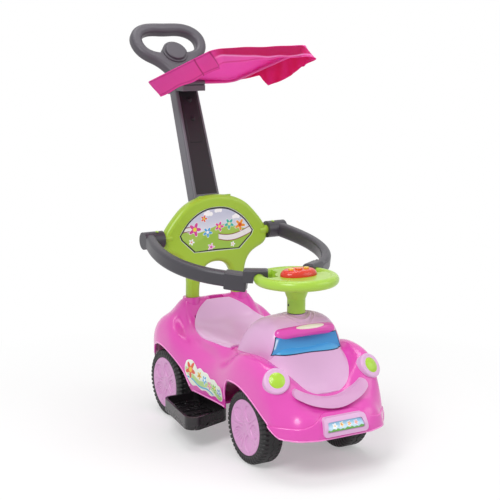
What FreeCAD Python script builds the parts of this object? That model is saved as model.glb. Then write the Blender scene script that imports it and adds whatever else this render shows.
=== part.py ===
import FreeCAD, Part
import math
import os

# Push car with handle. X points forward, Y to the car's left, Z up. Lengths are millimetres and angles degrees.
# While it is modelled, X is measured from the rear axle. The finished car is moved so that its box is centred.

V = FreeCAD.Vector
origin = V(0, 0, 0)
x_axis = V(1, 0, 0)
y_axis = V(0, 1, 0)
z_axis = V(0, 0, 1)

# Fits and allowances
overrun = 20.0               # how far a cut runs past the material
run_fit = 0.05               # radial play of a shaft in its bore
seat_fit = 0.02              # radial play of a pin that stays put
rest_gap = 0.4               # gap between pieces that move past each other
wall = 3.0                   # moulded wall of shell and cowl

# Wheels and layout
wheelbase = 360.5
wheel_radius = 75.0
wheel_width = 48.0
wheel_face_y = 127.0         # outer face of every wheel
tread_round = 9.0
hubcap_radius = 56.5
hubcap_depth = 6.0
hubcap_dish = 3.0
hubcap_boss_radius = 11.0
spoke_count = 5
spoke_slot_width = 13.0
spoke_slot_inner = 17.0
spoke_slot_outer = 47.0
spoke_slot_depth = 2.0
rim_pocket_inner = 24.0
rim_pocket_outer = 52.0
rim_pocket_depth = 30.0
axle_radius = 5.0
nut_radius = 11.0
nut_thickness = 4.0
spacer_radius = 12.0

# Body shell, as sections along the car: shares of length, half width and deck height
tail_reach = 118.0           # rear axle to the tail
body_length = 644.0
body_half_width = 137.0
deck_height = 258.0
body_floor = 60.0
body_section_shares = [
    # x, low y, side y, side z, crest y, crest z, rim y, rim z, middle z, swell between crest and rim
    (0.000, 0.530, 0.550, 0.465, 0.500, 0.580, 0.330, 0.620, 0.630, 0.010),
    (0.019, 0.685, 0.695, 0.500, 0.640, 0.675, 0.430, 0.730, 0.745, 0.010),
    (0.053, 0.800, 0.815, 0.540, 0.715, 0.735, 0.500, 0.795, 0.810, 0.000),
    (0.113, 0.920, 0.940, 0.580, 0.800, 0.825, 0.550, 0.900, 0.915, -0.008),
    (0.165, 0.970, 0.990, 0.605, 0.840, 0.870, 0.575, 0.995, 1.005, -0.022),
    (0.196, 0.980, 1.000, 0.610, 0.850, 0.875, 0.590, 1.010, 1.014, -0.026),
    (0.230, 0.980, 1.000, 0.605, 0.860, 0.845, 0.630, 0.930, 0.935, -0.028),
    (0.270, 0.975, 0.995, 0.590, 0.865, 0.790, 0.680, 0.830, 0.842, -0.030),
    (0.331, 0.950, 0.970, 0.545, 0.850, 0.715, 0.735, 0.793, 0.797, -0.030),
    (0.416, 0.920, 0.935, 0.485, 0.860, 0.645, 0.755, 0.783, 0.787, -0.030),
    (0.509, 0.905, 0.920, 0.465, 0.860, 0.630, 0.755, 0.783, 0.787, -0.028),
    (0.595, 0.925, 0.940, 0.545, 0.845, 0.715, 0.715, 0.788, 0.788, -0.018),
    (0.680, 0.970, 0.990, 0.640, 0.820, 0.838, 0.640, 0.825, 0.800, 0.006),
    (0.766, 0.985, 1.000, 0.650, 0.820, 0.870, 0.615, 0.822, 0.775, 0.016),
    (0.835, 0.970, 0.985, 0.635, 0.820, 0.842, 0.610, 0.795, 0.665, 0.022),
    (0.8665, 0.955, 0.965, 0.635, 0.812, 0.800, 0.595, 0.770, 0.635, 0.022),
    (0.885, 0.930, 0.940, 0.615, 0.800, 0.745, 0.565, 0.733, 0.615, 0.022),
    (0.9006, 0.905, 0.915, 0.580, 0.780, 0.685, 0.530, 0.688, 0.605, 0.022),
    (0.9208, 0.850, 0.860, 0.520, 0.725, 0.606, 0.470, 0.622, 0.600, 0.022),
    (0.938, 0.790, 0.800, 0.475, 0.665, 0.555, 0.400, 0.574, 0.568, 0.020),
    (0.953, 0.732, 0.742, 0.450, 0.605, 0.522, 0.345, 0.525, 0.520, 0.020),
    (0.972, 0.665, 0.675, 0.430, 0.540, 0.490, 0.290, 0.490, 0.488, 0.018),
    (0.9876, 0.560, 0.565, 0.400, 0.455, 0.442, 0.240, 0.442, 0.442, 0.016),
    (0.9953, 0.470, 0.475, 0.375, 0.385, 0.402, 0.200, 0.402, 0.402, 0.014),
    (1.000, 0.360, 0.360, 0.355, 0.285, 0.370, 0.155, 0.370, 0.370, 0.012),
]
rim_rise_share = 0.75        # how much of the rise from rim to middle lies outside half the rim's width
crest_lean_share = 0.7       # how much of a wall's growth goes each way at the crest
rear_lip_z = 112.0
rocker_z = 92.0
bumper_z = 85.0
# Wheel arches, as shares of the wheel radius from the wheel centre
rear_arch_shares = [(-0.66, 0.80), (-0.52, 1.05), (-0.29, 1.16), (0.03, 1.18), (0.35, 1.13), (0.68, 1.03),
                    (0.95, 0.91), (1.44, 0.61), (1.72, 0.29)]
rear_arch_start_share = -0.68
well_gap = 2.5               # between a rear wheel and the body round it
rear_arch_end_share = 1.80
front_arch_shares = [(-1.05, 0.50), (-1.00, 0.83), (-0.86, 1.05), (-0.60, 1.12), (-0.30, 1.13), (0.00, 1.09),
                     (0.35, 0.97), (0.65, 0.81), (1.00, 0.59), (1.35, 0.35)]
front_arch_start_share = -1.07
front_arch_end_share = 1.62
finger_notch_length = 36.0
finger_notch_width = 14.0
finger_notch_depth = 12.0

# Underbody with the storage tub
tub_rear_x = 42.0
tub_front_x = 243.0
tub_half_width = 72.0
tub_floor_z = 98.0
tub_wall = 2.5
tub_rim_z = 199.0
wing_rear_x = 140.0
wing_front_x = 255.0
wing_thickness = 5.0
keel_tail_x = -38.0
keel_front_x = 402.0
keel_half_width = 37.0
keel_thickness = 5.0
saddle_half_length = 16.0
saddle_y = 58.0
saddle_thickness = 14.0
saddle_drop = 16.0           # plastic below the axle centre
cross_half_length = 17.0
cross_half_width = 73.0
boss_radius = 13.0
boss_height = 30.0

# King pins, knuckles and steering linkage
kingpin_y = 62.0
kingpin_radius = 4.0
kingpin_low_z = 48.0
sleeve_radius = 10.0
sleeve_low_z = 53.0
knuckle_arm_width = 14.0
knuckle_arm_low_z = 84.0
knuckle_arm_height = 8.0
crank_length = 38.0
crank_width = 13.0
link_pin_radius = 3.0
link_pin_drop = 13.0
link_head_radius = 5.5
link_head_height = 2.5
link_play = 0.5
tie_rod_width = 18.0
tie_rod_thickness = 6.0
tie_rod_end = 12.0
steer_limit = 20.0           # steering wheel, each way

# Steering column and wheel
column_x = 348.0
rod_radius = 6.0
rod_top_z = 345.0
rod_collar_radius = 10.0
rod_collar_height = 4.0
sleeve_column_radius = 18.5
sleeve_column_low_z = 294.0
sleeve_flare_radius = 30.0
sleeve_flare_height = 30.0
bush_radius = 12.0
bush_flange_radius = 16.0
bush_flange_height = 1.6
bush_length = 14.0
rim_radius = 75.0            # middle of the rim's tube
rim_tube_radius = 11.0
rim_z = 362.0
plate_low_z = 352.0
plate_top_z = 371.0
plate_rear_x = 3.0           # from the column's centre
spoke_half_width = 20.0
hub_plate_radius = 43.0
battery_room_rear_x = 32.0
battery_room_front_x = 58.0
battery_room_half_width = 26.0
battery_room_top_z = 367.0
battery_door_thickness = 2.5
cell_radius = 5.2
cell_length = 44.0
board_room_rear_x = -16.0
board_room_front_x = 26.0
board_room_half_width = 27.0
board_room_floor_z = 357.0
board_z = 366.0
board_thickness = 1.6
speaker_radius = 14.0
speaker_height = 8.0

# Sound housing and buttons
housing_x = 8.0              # from the column's centre
housing_half_length = 27.0
housing_half_width = 40.0
housing_height = 12.5
housing_wall = 2.0
housing_level_shares = [(0.00, 1.00), (0.50, 0.97), (0.85, 0.86), (1.00, 0.72)]
button_y = 18.0
button_radius = 5.5
middle_button_radius = 7.5
button_proud = 2.4
button_flange = 1.6
button_flange_height = 2.5
button_play = 0.3

# Seat lid
seat_rear_x = 18.0
seat_length = 226.0
seat_half_width = 101.0
seat_outline_shares = [(0.000, 0.280), (0.040, 0.460), (0.090, 0.620), (0.150, 0.740), (0.250, 0.870),
                       (0.360, 0.955), (0.495, 1.000), (0.758, 1.000), (0.926, 0.965), (1.000, 0.925)]
seat_proud = 4.5             # above the body's deck
seat_hinge_x = 251.0
seat_hinge_z = 206.5
seat_bead_radius = 4.0
seat_bead_half_length = 60.0
seat_pin_radius = 2.0
seat_lug_thickness = 6.0
seat_leaf_thickness = 3.0

# Cowl with bonnet, as sections: shares of length, cowl half width and cowl height
cowl_half_width = 93.0
cowl_height = 292.0
cowl_floor = 110.0
dome_rear_x = 258.0
dome_length = 130.0
dome_section_shares = [
    # x, side y, side z, shoulder y, shoulder z, middle z
    (0.000, 0.920, 0.685, 0.750, 0.733, 0.740), (0.077, 0.955, 0.720, 0.815, 0.815, 0.836),
    (0.210, 0.970, 0.736, 0.795, 0.884, 0.918), (0.400, 0.980, 0.753, 0.755, 0.938, 0.973),
    (0.670, 0.970, 0.760, 0.710, 0.959, 1.000), (0.877, 0.945, 0.753, 0.710, 0.938, 0.980),
    (0.970, 0.925, 0.736, 0.700, 0.900, 0.935), (1.000, 0.900, 0.720, 0.660, 0.875, 0.905),
]
bonnet_rear_x = 376.0
bonnet_length = 92.0
bonnet_section_shares = [
    (0.000, 0.930, 0.736, 0.750, 0.785, 0.800), (0.207, 0.920, 0.715, 0.730, 0.765, 0.774),
    (0.424, 0.900, 0.680, 0.700, 0.714, 0.714), (0.674, 0.830, 0.645, 0.620, 0.654, 0.642),
    (0.859, 0.700, 0.590, 0.500, 0.596, 0.583), (1.000, 0.380, 0.525, 0.260, 0.540, 0.538),
]
visor_front_x = 397.0
visor_radius = 184.0
visor_depth = 17.0
visor_half_angle = 22.0
visor_low_z = 250.0
visor_height = 17.0

# Headlights
light_x = 452.0
light_y = 109.0
light_z = 192.0
light_yaw = 18.0
light_pitch = 33.0
bezel_radius = 26.0
bezel_proud = 4.5
bezel_depth = 30.0
bezel_round = 4.0
lens_radius = 16.0
lens_depth = 5.0
lens_crown = 4.0
lens_sphere_radius = 34.0

# Bumper bar and plate
bar_half_span = 77.0
bar_end_z = 167.0
bar_middle_z = 145.0
bar_half_height = 8.5
bar_proud = 6.0
front_trim_rear_x = 430.0
plate_top_half_width = 47.0
plate_low_half_width = 52.0
plate_frame_low_z = 91.0
plate_frame_top_z = 126.0
plate_frame_round = 7.0
plate_frame_proud = 7.0
plate_margin = 8.0
plate_seat_proud = 3.0
plate_proud = 5.0

# Foot trays: outline as shares of the tray's length and of its reach from the centre plane
tray_rear_x = 84.0
tray_length = 168.0
tray_reach = 194.0
tray_outline_shares = [(0.02, 0.45), (0.00, 0.885), (0.90, 1.00), (1.00, 0.915), (0.82, 0.45)]
tray_round = 20.0
tray_low_z = 45.0
tray_top_z = 72.0
tray_floor = 5.0
tray_rim = 5.0
tray_rib_count = 5
tray_rib_height = 2.0
tray_rib_width = 5.0
upstand_inner_y = 88.0
upstand_thickness = 9.0
upstand_rear_x = 146.0
upstand_front_x = 214.0

# Backrest: outline as shares of half width and height
leg_x = 6.0
leg_y = 61.0
post_radius = 19.0
post_top_z = 266.0
post_root = 40.0
backrest_half_width = 131.0
backrest_height = 225.0
backrest_thickness = 26.0
backrest_lean = 1.0
backrest_round = 10.0
backrest_outer_shares = [(0.55, 0.00), (0.545, 0.18), (0.58, 0.295), (0.66, 0.375), (0.80, 0.432), (0.94, 0.476),
                         (1.00, 0.54), (0.99, 0.615), (0.92, 0.695), (0.775, 0.80), (0.595, 0.90), (0.40, 0.96)]
backrest_inner_shares = [(0.335, 0.00), (0.32, 0.135), (0.275, 0.23), (0.22, 0.285), (0.12, 0.322)]
backrest_arch_share = 0.333
panel_shares = [(0.00, 0.885), (0.267, 0.86), (0.535, 0.76), (0.72, 0.62)]
panel_corner_shares = [(0.69, 0.575), (0.445, 0.44)]
panel_depth = 2.0
boss_wall = 7.0              # socket for the pole behind the backrest
boss_drop = 12.0             # below the pole's foot
spigot_radius = 10.0
spigot_length = 34.0
pivot_x = 8.0
pivot_z = 402.0
pivot_radius = 10.0
pivot_reach = 170.0

# Guard arms: middle line as shares of reach and bulge, in the arm's own slope
arm_slope = 9.5
arm_reach = 300.0
arm_bulge = 184.0
arm_line_shares = [(0.000, 0.880), (0.160, 0.950), (0.365, 0.990), (0.550, 0.955), (0.690, 0.865), (0.800, 0.735),
                   (0.885, 0.580), (0.955, 0.440)]
arm_half_width = 11.0
arm_height = 32.0
arm_round = 8.0
arm_end_length = 46.0        # thicker block behind the claw
arm_end_grow = 2.0
arm_end_drop = 4.0
arm_end_round = 3.0
socket_radius = 19.0
socket_inner_y = 132.0
socket_outer_y = 178.0
claw_angle = 57.0            # from straight back, about the column
claw_half_width = 12.0
claw_inner = 18.0            # from the middle of the rim's tube
claw_outer = 32.0
claw_cover = 9.0
claw_drop = 8.0
claw_gap = 1.2
claw_round = 6.0

# Push pole, handle and cap
pole_foot_x = -48.0
pole_foot_z = 481.0
pole_lean = 22.0
pole_length = 292.0
pole_foot_width = 66.0
pole_foot_depth = 36.0
pole_top_width = 56.0
pole_top_depth = 34.0
pole_round = 5.0
pole_tongue_width = 40.0
pole_tongue_depth = 16.0
pole_tongue_length = 60.0
pole_collar_drop = 46.0      # how far the pole's foot hugs the back of the backrest
handle_lean = 42.0
handle_width = 190.0
handle_height = 145.0
handle_thickness = 26.0
handle_round = 9.0
handle_outer_shares = [(0.16, 0.00), (0.19, 0.08), (0.265, 0.205), (0.36, 0.30), (0.445, 0.42), (0.49, 0.58),
                       (0.485, 0.735), (0.42, 0.88), (0.295, 0.975)]
handle_inner_shares = [(0.13, 0.40), (0.23, 0.41), (0.32, 0.48), (0.355, 0.60), (0.34, 0.71), (0.265, 0.79)]
handle_window_share = 0.81   # top of the grip's opening
cap_ring_radius = 30.0
cap_ring_proud = 3.0
cap_radius = 24.5
cap_height = 8.0
cap_step = 3.0
cap_along_share = 0.363

# Canopy, in its own tilted plane
bracket_low = 250.0          # along the pole from its foot
bracket_height = 16.0
bracket_wall = 3.0
bracket_half_width = 28.0
bracket_arm_drop = 18.0      # underside of the bracket's arm, below the hinge
bracket_arm_top_drop = 5.6
bracket_lug_radius = 6.0
canopy_hinge_x = -95.0
canopy_hinge_z = 733.0
canopy_tilt = 14.3
wire_radius = 3.0
frame_length = 308.0
frame_half_width = 102.0
frame_rear_bend = 26.0
frame_front_bend = 28.0
cloth_thickness = 2.0
cloth_half_width = 115.0
cloth_rear = 14.0            # behind the hinge
cloth_front = 322.0          # ahead of the hinge
cloth_edge_z = 4.4
cloth_rear_round = 30.0
cloth_front_round = 24.0
cloth_crown = 8.0
cloth_fold_shares = [(0.0, 0.75), (0.2, 1.0), (0.4, 0.75), (0.6, 1.05), (0.8, 0.8), (1.0, 0.6)]
skirt_depth = 52.0           # below the edge, before the hem is cut
skirt_tuck = 34.0            # how far the skirt leans in over that depth
hem_right_drop = 26.0
hem_left_drop = 40.0
hem_front_drop = 14.0
hem_front_run = 45.0         # length over which the front hem is cut short
hem_rear_drop = 10.0
hem_rear_run = 118.0         # length over which the left hem is cut short
hem_rear_y = -60.0           # right-hand end of the short rear hem
skirt_slot_play = 2.0

# Screws
screw_head_radius = 4.0
screw_head_height = 2.5
screw_radius = 1.8
screw_length = 12.0

pieces = {}


def block(x0, x1, y0, y1, z0, z1):
    return Part.makeBox(x1 - x0, y1 - y0, z1 - z0, V(x0, y0, z0))


def upright(radius, x, y, z0, z1):
    return Part.makeCylinder(radius, z1 - z0, V(x, y, z0))


def crosswise(radius, x, z, y0, y1):
    return Part.makeCylinder(radius, y1 - y0, V(x, y0, z), y_axis)


def mirrored(shape):
    return shape.mirror(origin, y_axis)


def spline(points):
    curve = Part.BSplineCurve()
    curve.interpolate(points)
    return curve.toShape()


def face_of(edges):
    return Part.Face(Part.Wire(Part.__sortEdges__(edges)))


def polygon_face(points):
    return Part.Face(Part.makePolygon(points + [points[0]]))


def biggest(shape):
    return max(shape.Solids, key=lambda solid: solid.Volume)


def section_wire(x, half):
    # One closed section: a smooth line over the top from side to side, and a straight line below.
    points = [V(x, -y, z) for y, z in half] + [V(x, y, z) for y, z in reversed(half[:-1])]
    return Part.Wire([spline(points), Part.makeLine(points[-1], points[0])])


def loft(wires):
    return Part.makeLoft(wires, True, False)


# Body shell
def body_solid(grow):
    # The body's outer form, grown all round by a wall or trim thickness, or shrunk where that is negative.
    wires = []
    for row in body_section_shares:
        x_share, low_y, side_y, side_z, crest_y, crest_z, rim_y, rim_z, middle_z, swell = row
        along = (2 * x_share - 1) ** 3
        x = x_share * body_length - tail_reach + grow * along
        crest = V(0, crest_y * body_half_width, crest_z * deck_height)
        rim = V(0, rim_y * body_half_width, rim_z * deck_height)
        across = rim - crest
        flank = (crest + rim) / 2 + V(0, across.z, -across.y).normalize() * (swell * body_half_width + grow)
        half = [(low_y * body_half_width + grow, body_floor),
                (side_y * body_half_width + grow, side_z * deck_height),
                (crest.y + grow * crest_lean_share, crest.z + grow * crest_lean_share),
                (flank.y, flank.z),
                (rim.y, rim.z + grow),
                (rim.y / 2, rim.z + (middle_z - rim_z) * rim_rise_share * deck_height + grow),
                (0, middle_z * deck_height + grow)]
        wires.append(section_wire(x, half))
    return loft(wires)


def lower_cut():
    # Everything below the lower edge: tail lip, rear arch, rocker, front arch, bumper.
    y = -body_half_width - overrun
    tail_x = -tail_reach - overrun
    nose_x = body_length - tail_reach + overrun
    low_z = body_floor - overrun
    rear_start = V(rear_arch_start_share * wheel_radius, y, rear_lip_z)
    rear_end = V(rear_arch_end_share * wheel_radius, y, rocker_z)
    front_start = V(wheelbase + front_arch_start_share * wheel_radius, y, rocker_z)
    front_end = V(wheelbase + front_arch_end_share * wheel_radius, y, bumper_z)
    rear = [V(a * wheel_radius, y, wheel_radius + b * wheel_radius) for a, b in rear_arch_shares]
    front = [V(wheelbase + a * wheel_radius, y, wheel_radius + b * wheel_radius) for a, b in front_arch_shares]
    corners = [V(nose_x, y, bumper_z), V(nose_x, y, low_z), V(tail_x, y, low_z), V(tail_x, y, rear_lip_z)]
    edges = [spline([rear_start] + rear + [rear_end]), Part.makeLine(rear_end, front_start),
             spline([front_start] + front + [front_end]), Part.makeLine(front_end, corners[0])]
    edges += [Part.makeLine(a, b) for a, b in zip(corners, corners[1:] + [rear_start])]
    return face_of(edges).extrude(V(0, -2 * y, 0))


body_outer = body_solid(0)
body_inner = body_solid(-wall)
seat_lug_y = seat_bead_half_length + rest_gap


def seat_lug():
    foot = block(seat_hinge_x - seat_bead_radius, seat_hinge_x + seat_bead_radius, seat_lug_y,
                 seat_lug_y + seat_lug_thickness, seat_hinge_z - seat_bead_radius - wall, seat_hinge_z)
    head = crosswise(seat_bead_radius, seat_hinge_x, seat_hinge_z, seat_lug_y, seat_lug_y + seat_lug_thickness)
    return foot.fuse(head)


def make_body_shell():
    hollow = body_inner.fuse(body_inner.translated(V(0, 0, -overrun)))
    well = crosswise(wheel_radius + well_gap, 0, wheel_radius, wheel_face_y - wheel_width - well_gap,
                     body_half_width + overrun)
    shell = body_outer.cut(hollow).cut(lower_cut()).cut([well, mirrored(well)])
    post = upright(post_radius, leg_x, leg_y, post_top_z - post_root, post_top_z)
    shell = shell.fuse([post, mirrored(post), seat_lug(), mirrored(seat_lug())])
    opening = block(tub_rear_x - rest_gap, tub_front_x + rest_gap, -tub_half_width - rest_gap,
                    tub_half_width + rest_gap, tub_floor_z, deck_height + overrun)
    column_well = upright(rod_collar_radius + wall, column_x, 0, tub_floor_z, deck_height)
    notch_floor = deck_height - finger_notch_depth
    notch = block(seat_rear_x - finger_notch_width, seat_rear_x, -finger_notch_length / 2, finger_notch_length / 2,
                  notch_floor, deck_height + overrun)
    pocket = block(seat_rear_x - finger_notch_width - wall, seat_rear_x + wall, -finger_notch_length / 2 - wall,
                   finger_notch_length / 2 + wall, notch_floor - wall, deck_height + overrun)
    shell = shell.fuse(pocket.common(body_outer))
    socket = upright(spigot_radius + seat_fit, leg_x, leg_y, post_top_z - spigot_length, post_top_z + overrun)
    pin_bore = crosswise(seat_pin_radius + seat_fit, seat_hinge_x, seat_hinge_z, -body_half_width, body_half_width)
    groove = crosswise(seat_bead_radius + rest_gap, seat_hinge_x, seat_hinge_z, -seat_lug_y, seat_lug_y)
    pad = upright(post_radius, leg_x, leg_y, post_top_z, post_top_z + overrun)
    return biggest(shell.cut([opening, column_well, notch, socket, mirrored(socket), pad, mirrored(pad), pin_bore,
                              groove]))


# Underbody
wing_low_z = tub_floor_z - wing_thickness
front_x = wheelbase


def make_underbody():
    wing = block(wing_rear_x, wing_front_x, -body_half_width, body_half_width, wing_low_z, tub_floor_z)
    wing = wing.common(body_inner)
    tub = block(tub_rear_x, tub_front_x, -tub_half_width, tub_half_width, wing_low_z, tub_rim_z)
    keel = block(keel_tail_x, keel_front_x, -keel_half_width, keel_half_width, tub_floor_z - keel_thickness,
                 tub_floor_z)
    tail = block(keel_tail_x, tub_rear_x, -tub_half_width, tub_half_width, tub_floor_z - keel_thickness, tub_floor_z)
    cross = block(front_x - cross_half_length, front_x + cross_half_length, -cross_half_width, cross_half_width,
                  tub_floor_z - keel_thickness, tub_floor_z)
    saddle = block(-saddle_half_length, saddle_half_length, saddle_y - saddle_thickness / 2,
                   saddle_y + saddle_thickness / 2, wheel_radius - saddle_drop, tub_floor_z)
    boss = upright(boss_radius, front_x, kingpin_y, tub_floor_z - keel_thickness, tub_floor_z + boss_height)
    rod_boss = upright(boss_radius, column_x, 0, tub_floor_z - keel_thickness, tub_floor_z + boss_height / 2)
    solid = wing.fuse([tub, keel, tail, cross, saddle, mirrored(saddle), boss, mirrored(boss), rod_boss])
    room = block(tub_rear_x + tub_wall, tub_front_x - tub_wall, -tub_half_width + tub_wall,
                 tub_half_width - tub_wall, tub_floor_z, tub_rim_z + overrun)
    axle_bore = crosswise(axle_radius + seat_fit, 0, wheel_radius, -body_half_width, body_half_width)
    pin_bore = upright(kingpin_radius + seat_fit, front_x, kingpin_y, 0, tub_floor_z + boss_height - wall)
    rod_bore = upright(rod_radius + run_fit, column_x, 0, 0, deck_height)
    return biggest(solid.cut([room, axle_bore, pin_bore, mirrored(pin_bore), rod_bore]))


# Cowl with bonnet
def cowl_part(rows, rear_x, length, grow):
    wires = []
    for x_share, side_y, side_z, shoulder_y, shoulder_z, middle_z in rows:
        x = rear_x + x_share * length + grow * (2 * x_share - 1)
        half = [(side_y * cowl_half_width + grow, cowl_floor + grow),
                (side_y * cowl_half_width + grow, side_z * cowl_height + grow),
                (shoulder_y * cowl_half_width + grow * crest_lean_share,
                 shoulder_z * cowl_height + grow * crest_lean_share),
                (0, middle_z * cowl_height + grow)]
        wires.append(section_wire(x, half))
    return loft(wires)


def cowl_solid(grow):
    dome = cowl_part(dome_section_shares, dome_rear_x, dome_length, grow)
    return dome.fuse(cowl_part(bonnet_section_shares, bonnet_rear_x, bonnet_length, grow))


cowl_outer = cowl_solid(0)
bush_top_z = sleeve_column_low_z - rest_gap - bush_flange_height


def make_cowl():
    shell = cowl_outer.cut(cowl_solid(-wall)).cut(body_outer)
    pad = upright(bush_flange_radius + wall, column_x, 0, bush_top_z - bush_length, bush_top_z)
    above = upright(bush_flange_radius + wall, column_x, 0, bush_top_z, cowl_height + overrun)
    lug = seat_lug().fuse(mirrored(seat_lug()))
    bore = upright(bush_radius, column_x, 0, body_floor, cowl_height + overrun)
    return biggest(shell.fuse(pad).cut([above, bore, lug]))


def make_bush():
    tube = upright(bush_radius - seat_fit, column_x, 0, bush_top_z - bush_length, bush_top_z)
    flange = upright(bush_flange_radius, column_x, 0, bush_top_z, bush_top_z + bush_flange_height)
    bore = upright(rod_radius + run_fit, column_x, 0, body_floor, cowl_height + overrun)
    return tube.fuse(flange).cut(bore).removeSplitter()


def make_visor():
    centre = V(visor_front_x - visor_radius, 0, visor_low_z)
    bar = Part.makeCylinder(visor_radius, visor_height, centre, z_axis, 2 * visor_half_angle)
    bar = bar.cut(Part.makeCylinder(visor_radius - visor_depth, visor_height, centre))
    bar.rotate(centre, z_axis, -visor_half_angle)
    return biggest(bar.cut(cowl_outer))


# Headlights
yaw = math.radians(light_yaw)
pitch = math.radians(light_pitch)
light_aim = V(math.cos(pitch) * math.cos(yaw), math.cos(pitch) * math.sin(yaw), math.sin(pitch))
light_centre = V(light_x, light_y, light_z)


def aimed(radius, near, far):
    return Part.makeCylinder(radius, far - near, light_centre + light_aim * near, light_aim)


def make_bezel():
    ring = aimed(bezel_radius, -bezel_depth, bezel_proud)
    brim = [edge for edge in ring.Edges if edge.CenterOfMass.distanceToPoint(light_centre + light_aim * bezel_proud)
            < bezel_round and edge.Closed]
    ring = ring.makeFillet(bezel_round, brim)
    return biggest(ring.cut(aimed(lens_radius, bezel_proud - lens_depth, bezel_proud + overrun)).cut(body_outer))


def make_lens():
    plug = aimed(lens_radius - seat_fit, bezel_proud - lens_depth, bezel_proud + overrun)
    middle = light_centre + light_aim * (bezel_proud + lens_crown - lens_sphere_radius)
    return plug.common(Part.makeSphere(lens_sphere_radius, middle)).cut(body_outer)


# Bumper bar and plate
def make_bumper_bar():
    # A band between two arcs about one centre high above the nose, with round ends.
    rise = bar_end_z - bar_middle_z
    radius = (bar_half_span ** 2 + rise ** 2) / (2 * rise)
    swing = math.asin(bar_half_span / radius)

    def at(reach, angle):
        return V(front_trim_rear_x, reach * math.sin(angle), bar_middle_z + radius - reach * math.cos(angle))

    low, high = radius + bar_half_height, radius - bar_half_height
    tip = at(radius, swing) + V(0, math.cos(swing), math.sin(swing)) * bar_half_height
    far_tip = V(tip.x, -tip.y, tip.z)
    edges = [Part.Arc(at(low, -swing), at(low, 0), at(low, swing)).toShape(),
             Part.Arc(at(low, swing), tip, at(high, swing)).toShape(),
             Part.Arc(at(high, swing), at(high, 0), at(high, -swing)).toShape(),
             Part.Arc(at(high, -swing), far_tip, at(low, -swing)).toShape()]
    band = face_of(edges).extrude(V(body_length, 0, 0))
    return biggest(band.common(body_solid(bar_proud)).cut(body_outer))


def plate_prism(margin):
    low, top = plate_frame_low_z + margin, plate_frame_top_z - margin
    wide, narrow = plate_low_half_width - margin, plate_top_half_width - margin
    x = front_trim_rear_x
    face = polygon_face([V(x, -wide, low), V(x, wide, low), V(x, narrow, top), V(x, -narrow, top)])
    prism = face.extrude(V(body_length, 0, 0))
    along = [edge for edge in prism.Edges if abs(edge.tangentAt(edge.FirstParameter).x) > 1 / 2]
    return prism.makeFillet(plate_frame_round * (1 - margin / plate_frame_top_z) / (1 + margin / plate_margin), along)


def make_plate_frame():
    frame = plate_prism(0).common(body_solid(plate_frame_proud)).cut(body_outer)
    return biggest(frame.cut(plate_prism(plate_margin).cut(body_solid(plate_seat_proud))))


def make_plate():
    plate = plate_prism(plate_margin + rest_gap).common(body_solid(plate_proud))
    return biggest(plate.cut(body_solid(plate_seat_proud)))


# Foot trays, right-hand one first
def tray_prism(inset, low, top):
    points = [V(tray_rear_x + a * tray_length, -b * tray_reach, low) for a, b in tray_outline_shares]
    wire = Part.makePolygon(points + [points[0]])
    solid = Part.Face(wire).extrude(V(0, 0, top - low))
    corners = [edge for edge in solid.Edges if abs(edge.tangentAt(edge.FirstParameter).z) > 1 / 2]
    solid = solid.makeFillet(tray_round, corners)
    if inset:
        ring = [edge for edge in solid.Edges if abs(edge.CenterOfMass.z - low) < rest_gap]
        outline = Part.Wire(Part.__sortEdges__(ring)).makeOffset2D(-inset)
        solid = Part.Face(outline).extrude(V(0, 0, top - low))
    return solid


def make_tray():
    tray = tray_prism(0, tray_low_z, tray_top_z)
    tray = tray.cut(tray_prism(tray_rim, tray_low_z + tray_floor, tray_top_z + overrun))
    floor_z = tray_low_z + tray_floor
    inside = tray_prism(tray_rim, floor_z, floor_z + tray_rib_height)
    step = tray_length / (tray_rib_count + 1)
    for number in range(tray_rib_count):
        x = tray_rear_x + step * (number + 1)
        rib = block(x - tray_rib_width / 2, x + tray_rib_width / 2, -tray_reach, 0, floor_z,
                    floor_z + tray_rib_height)
        tray = tray.fuse(rib.common(inside))
    upstand = block(upstand_rear_x, upstand_front_x, -upstand_inner_y - upstand_thickness, -upstand_inner_y,
                    tray_low_z, wing_low_z)
    return tray.fuse(upstand).removeSplitter()


# Backrest
foot = V(leg_x, 0, post_top_z)


def leaned(shape):
    shape.rotate(foot, y_axis, -backrest_lean)
    return shape


def backrest_points(shares):
    x = leg_x - backrest_thickness / 2
    return [V(x, y * backrest_half_width, post_top_z + h * backrest_height) for y, h in shares]


def flipped(points):
    return [V(p.x, -p.y, p.z) for p in reversed(points)]


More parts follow.
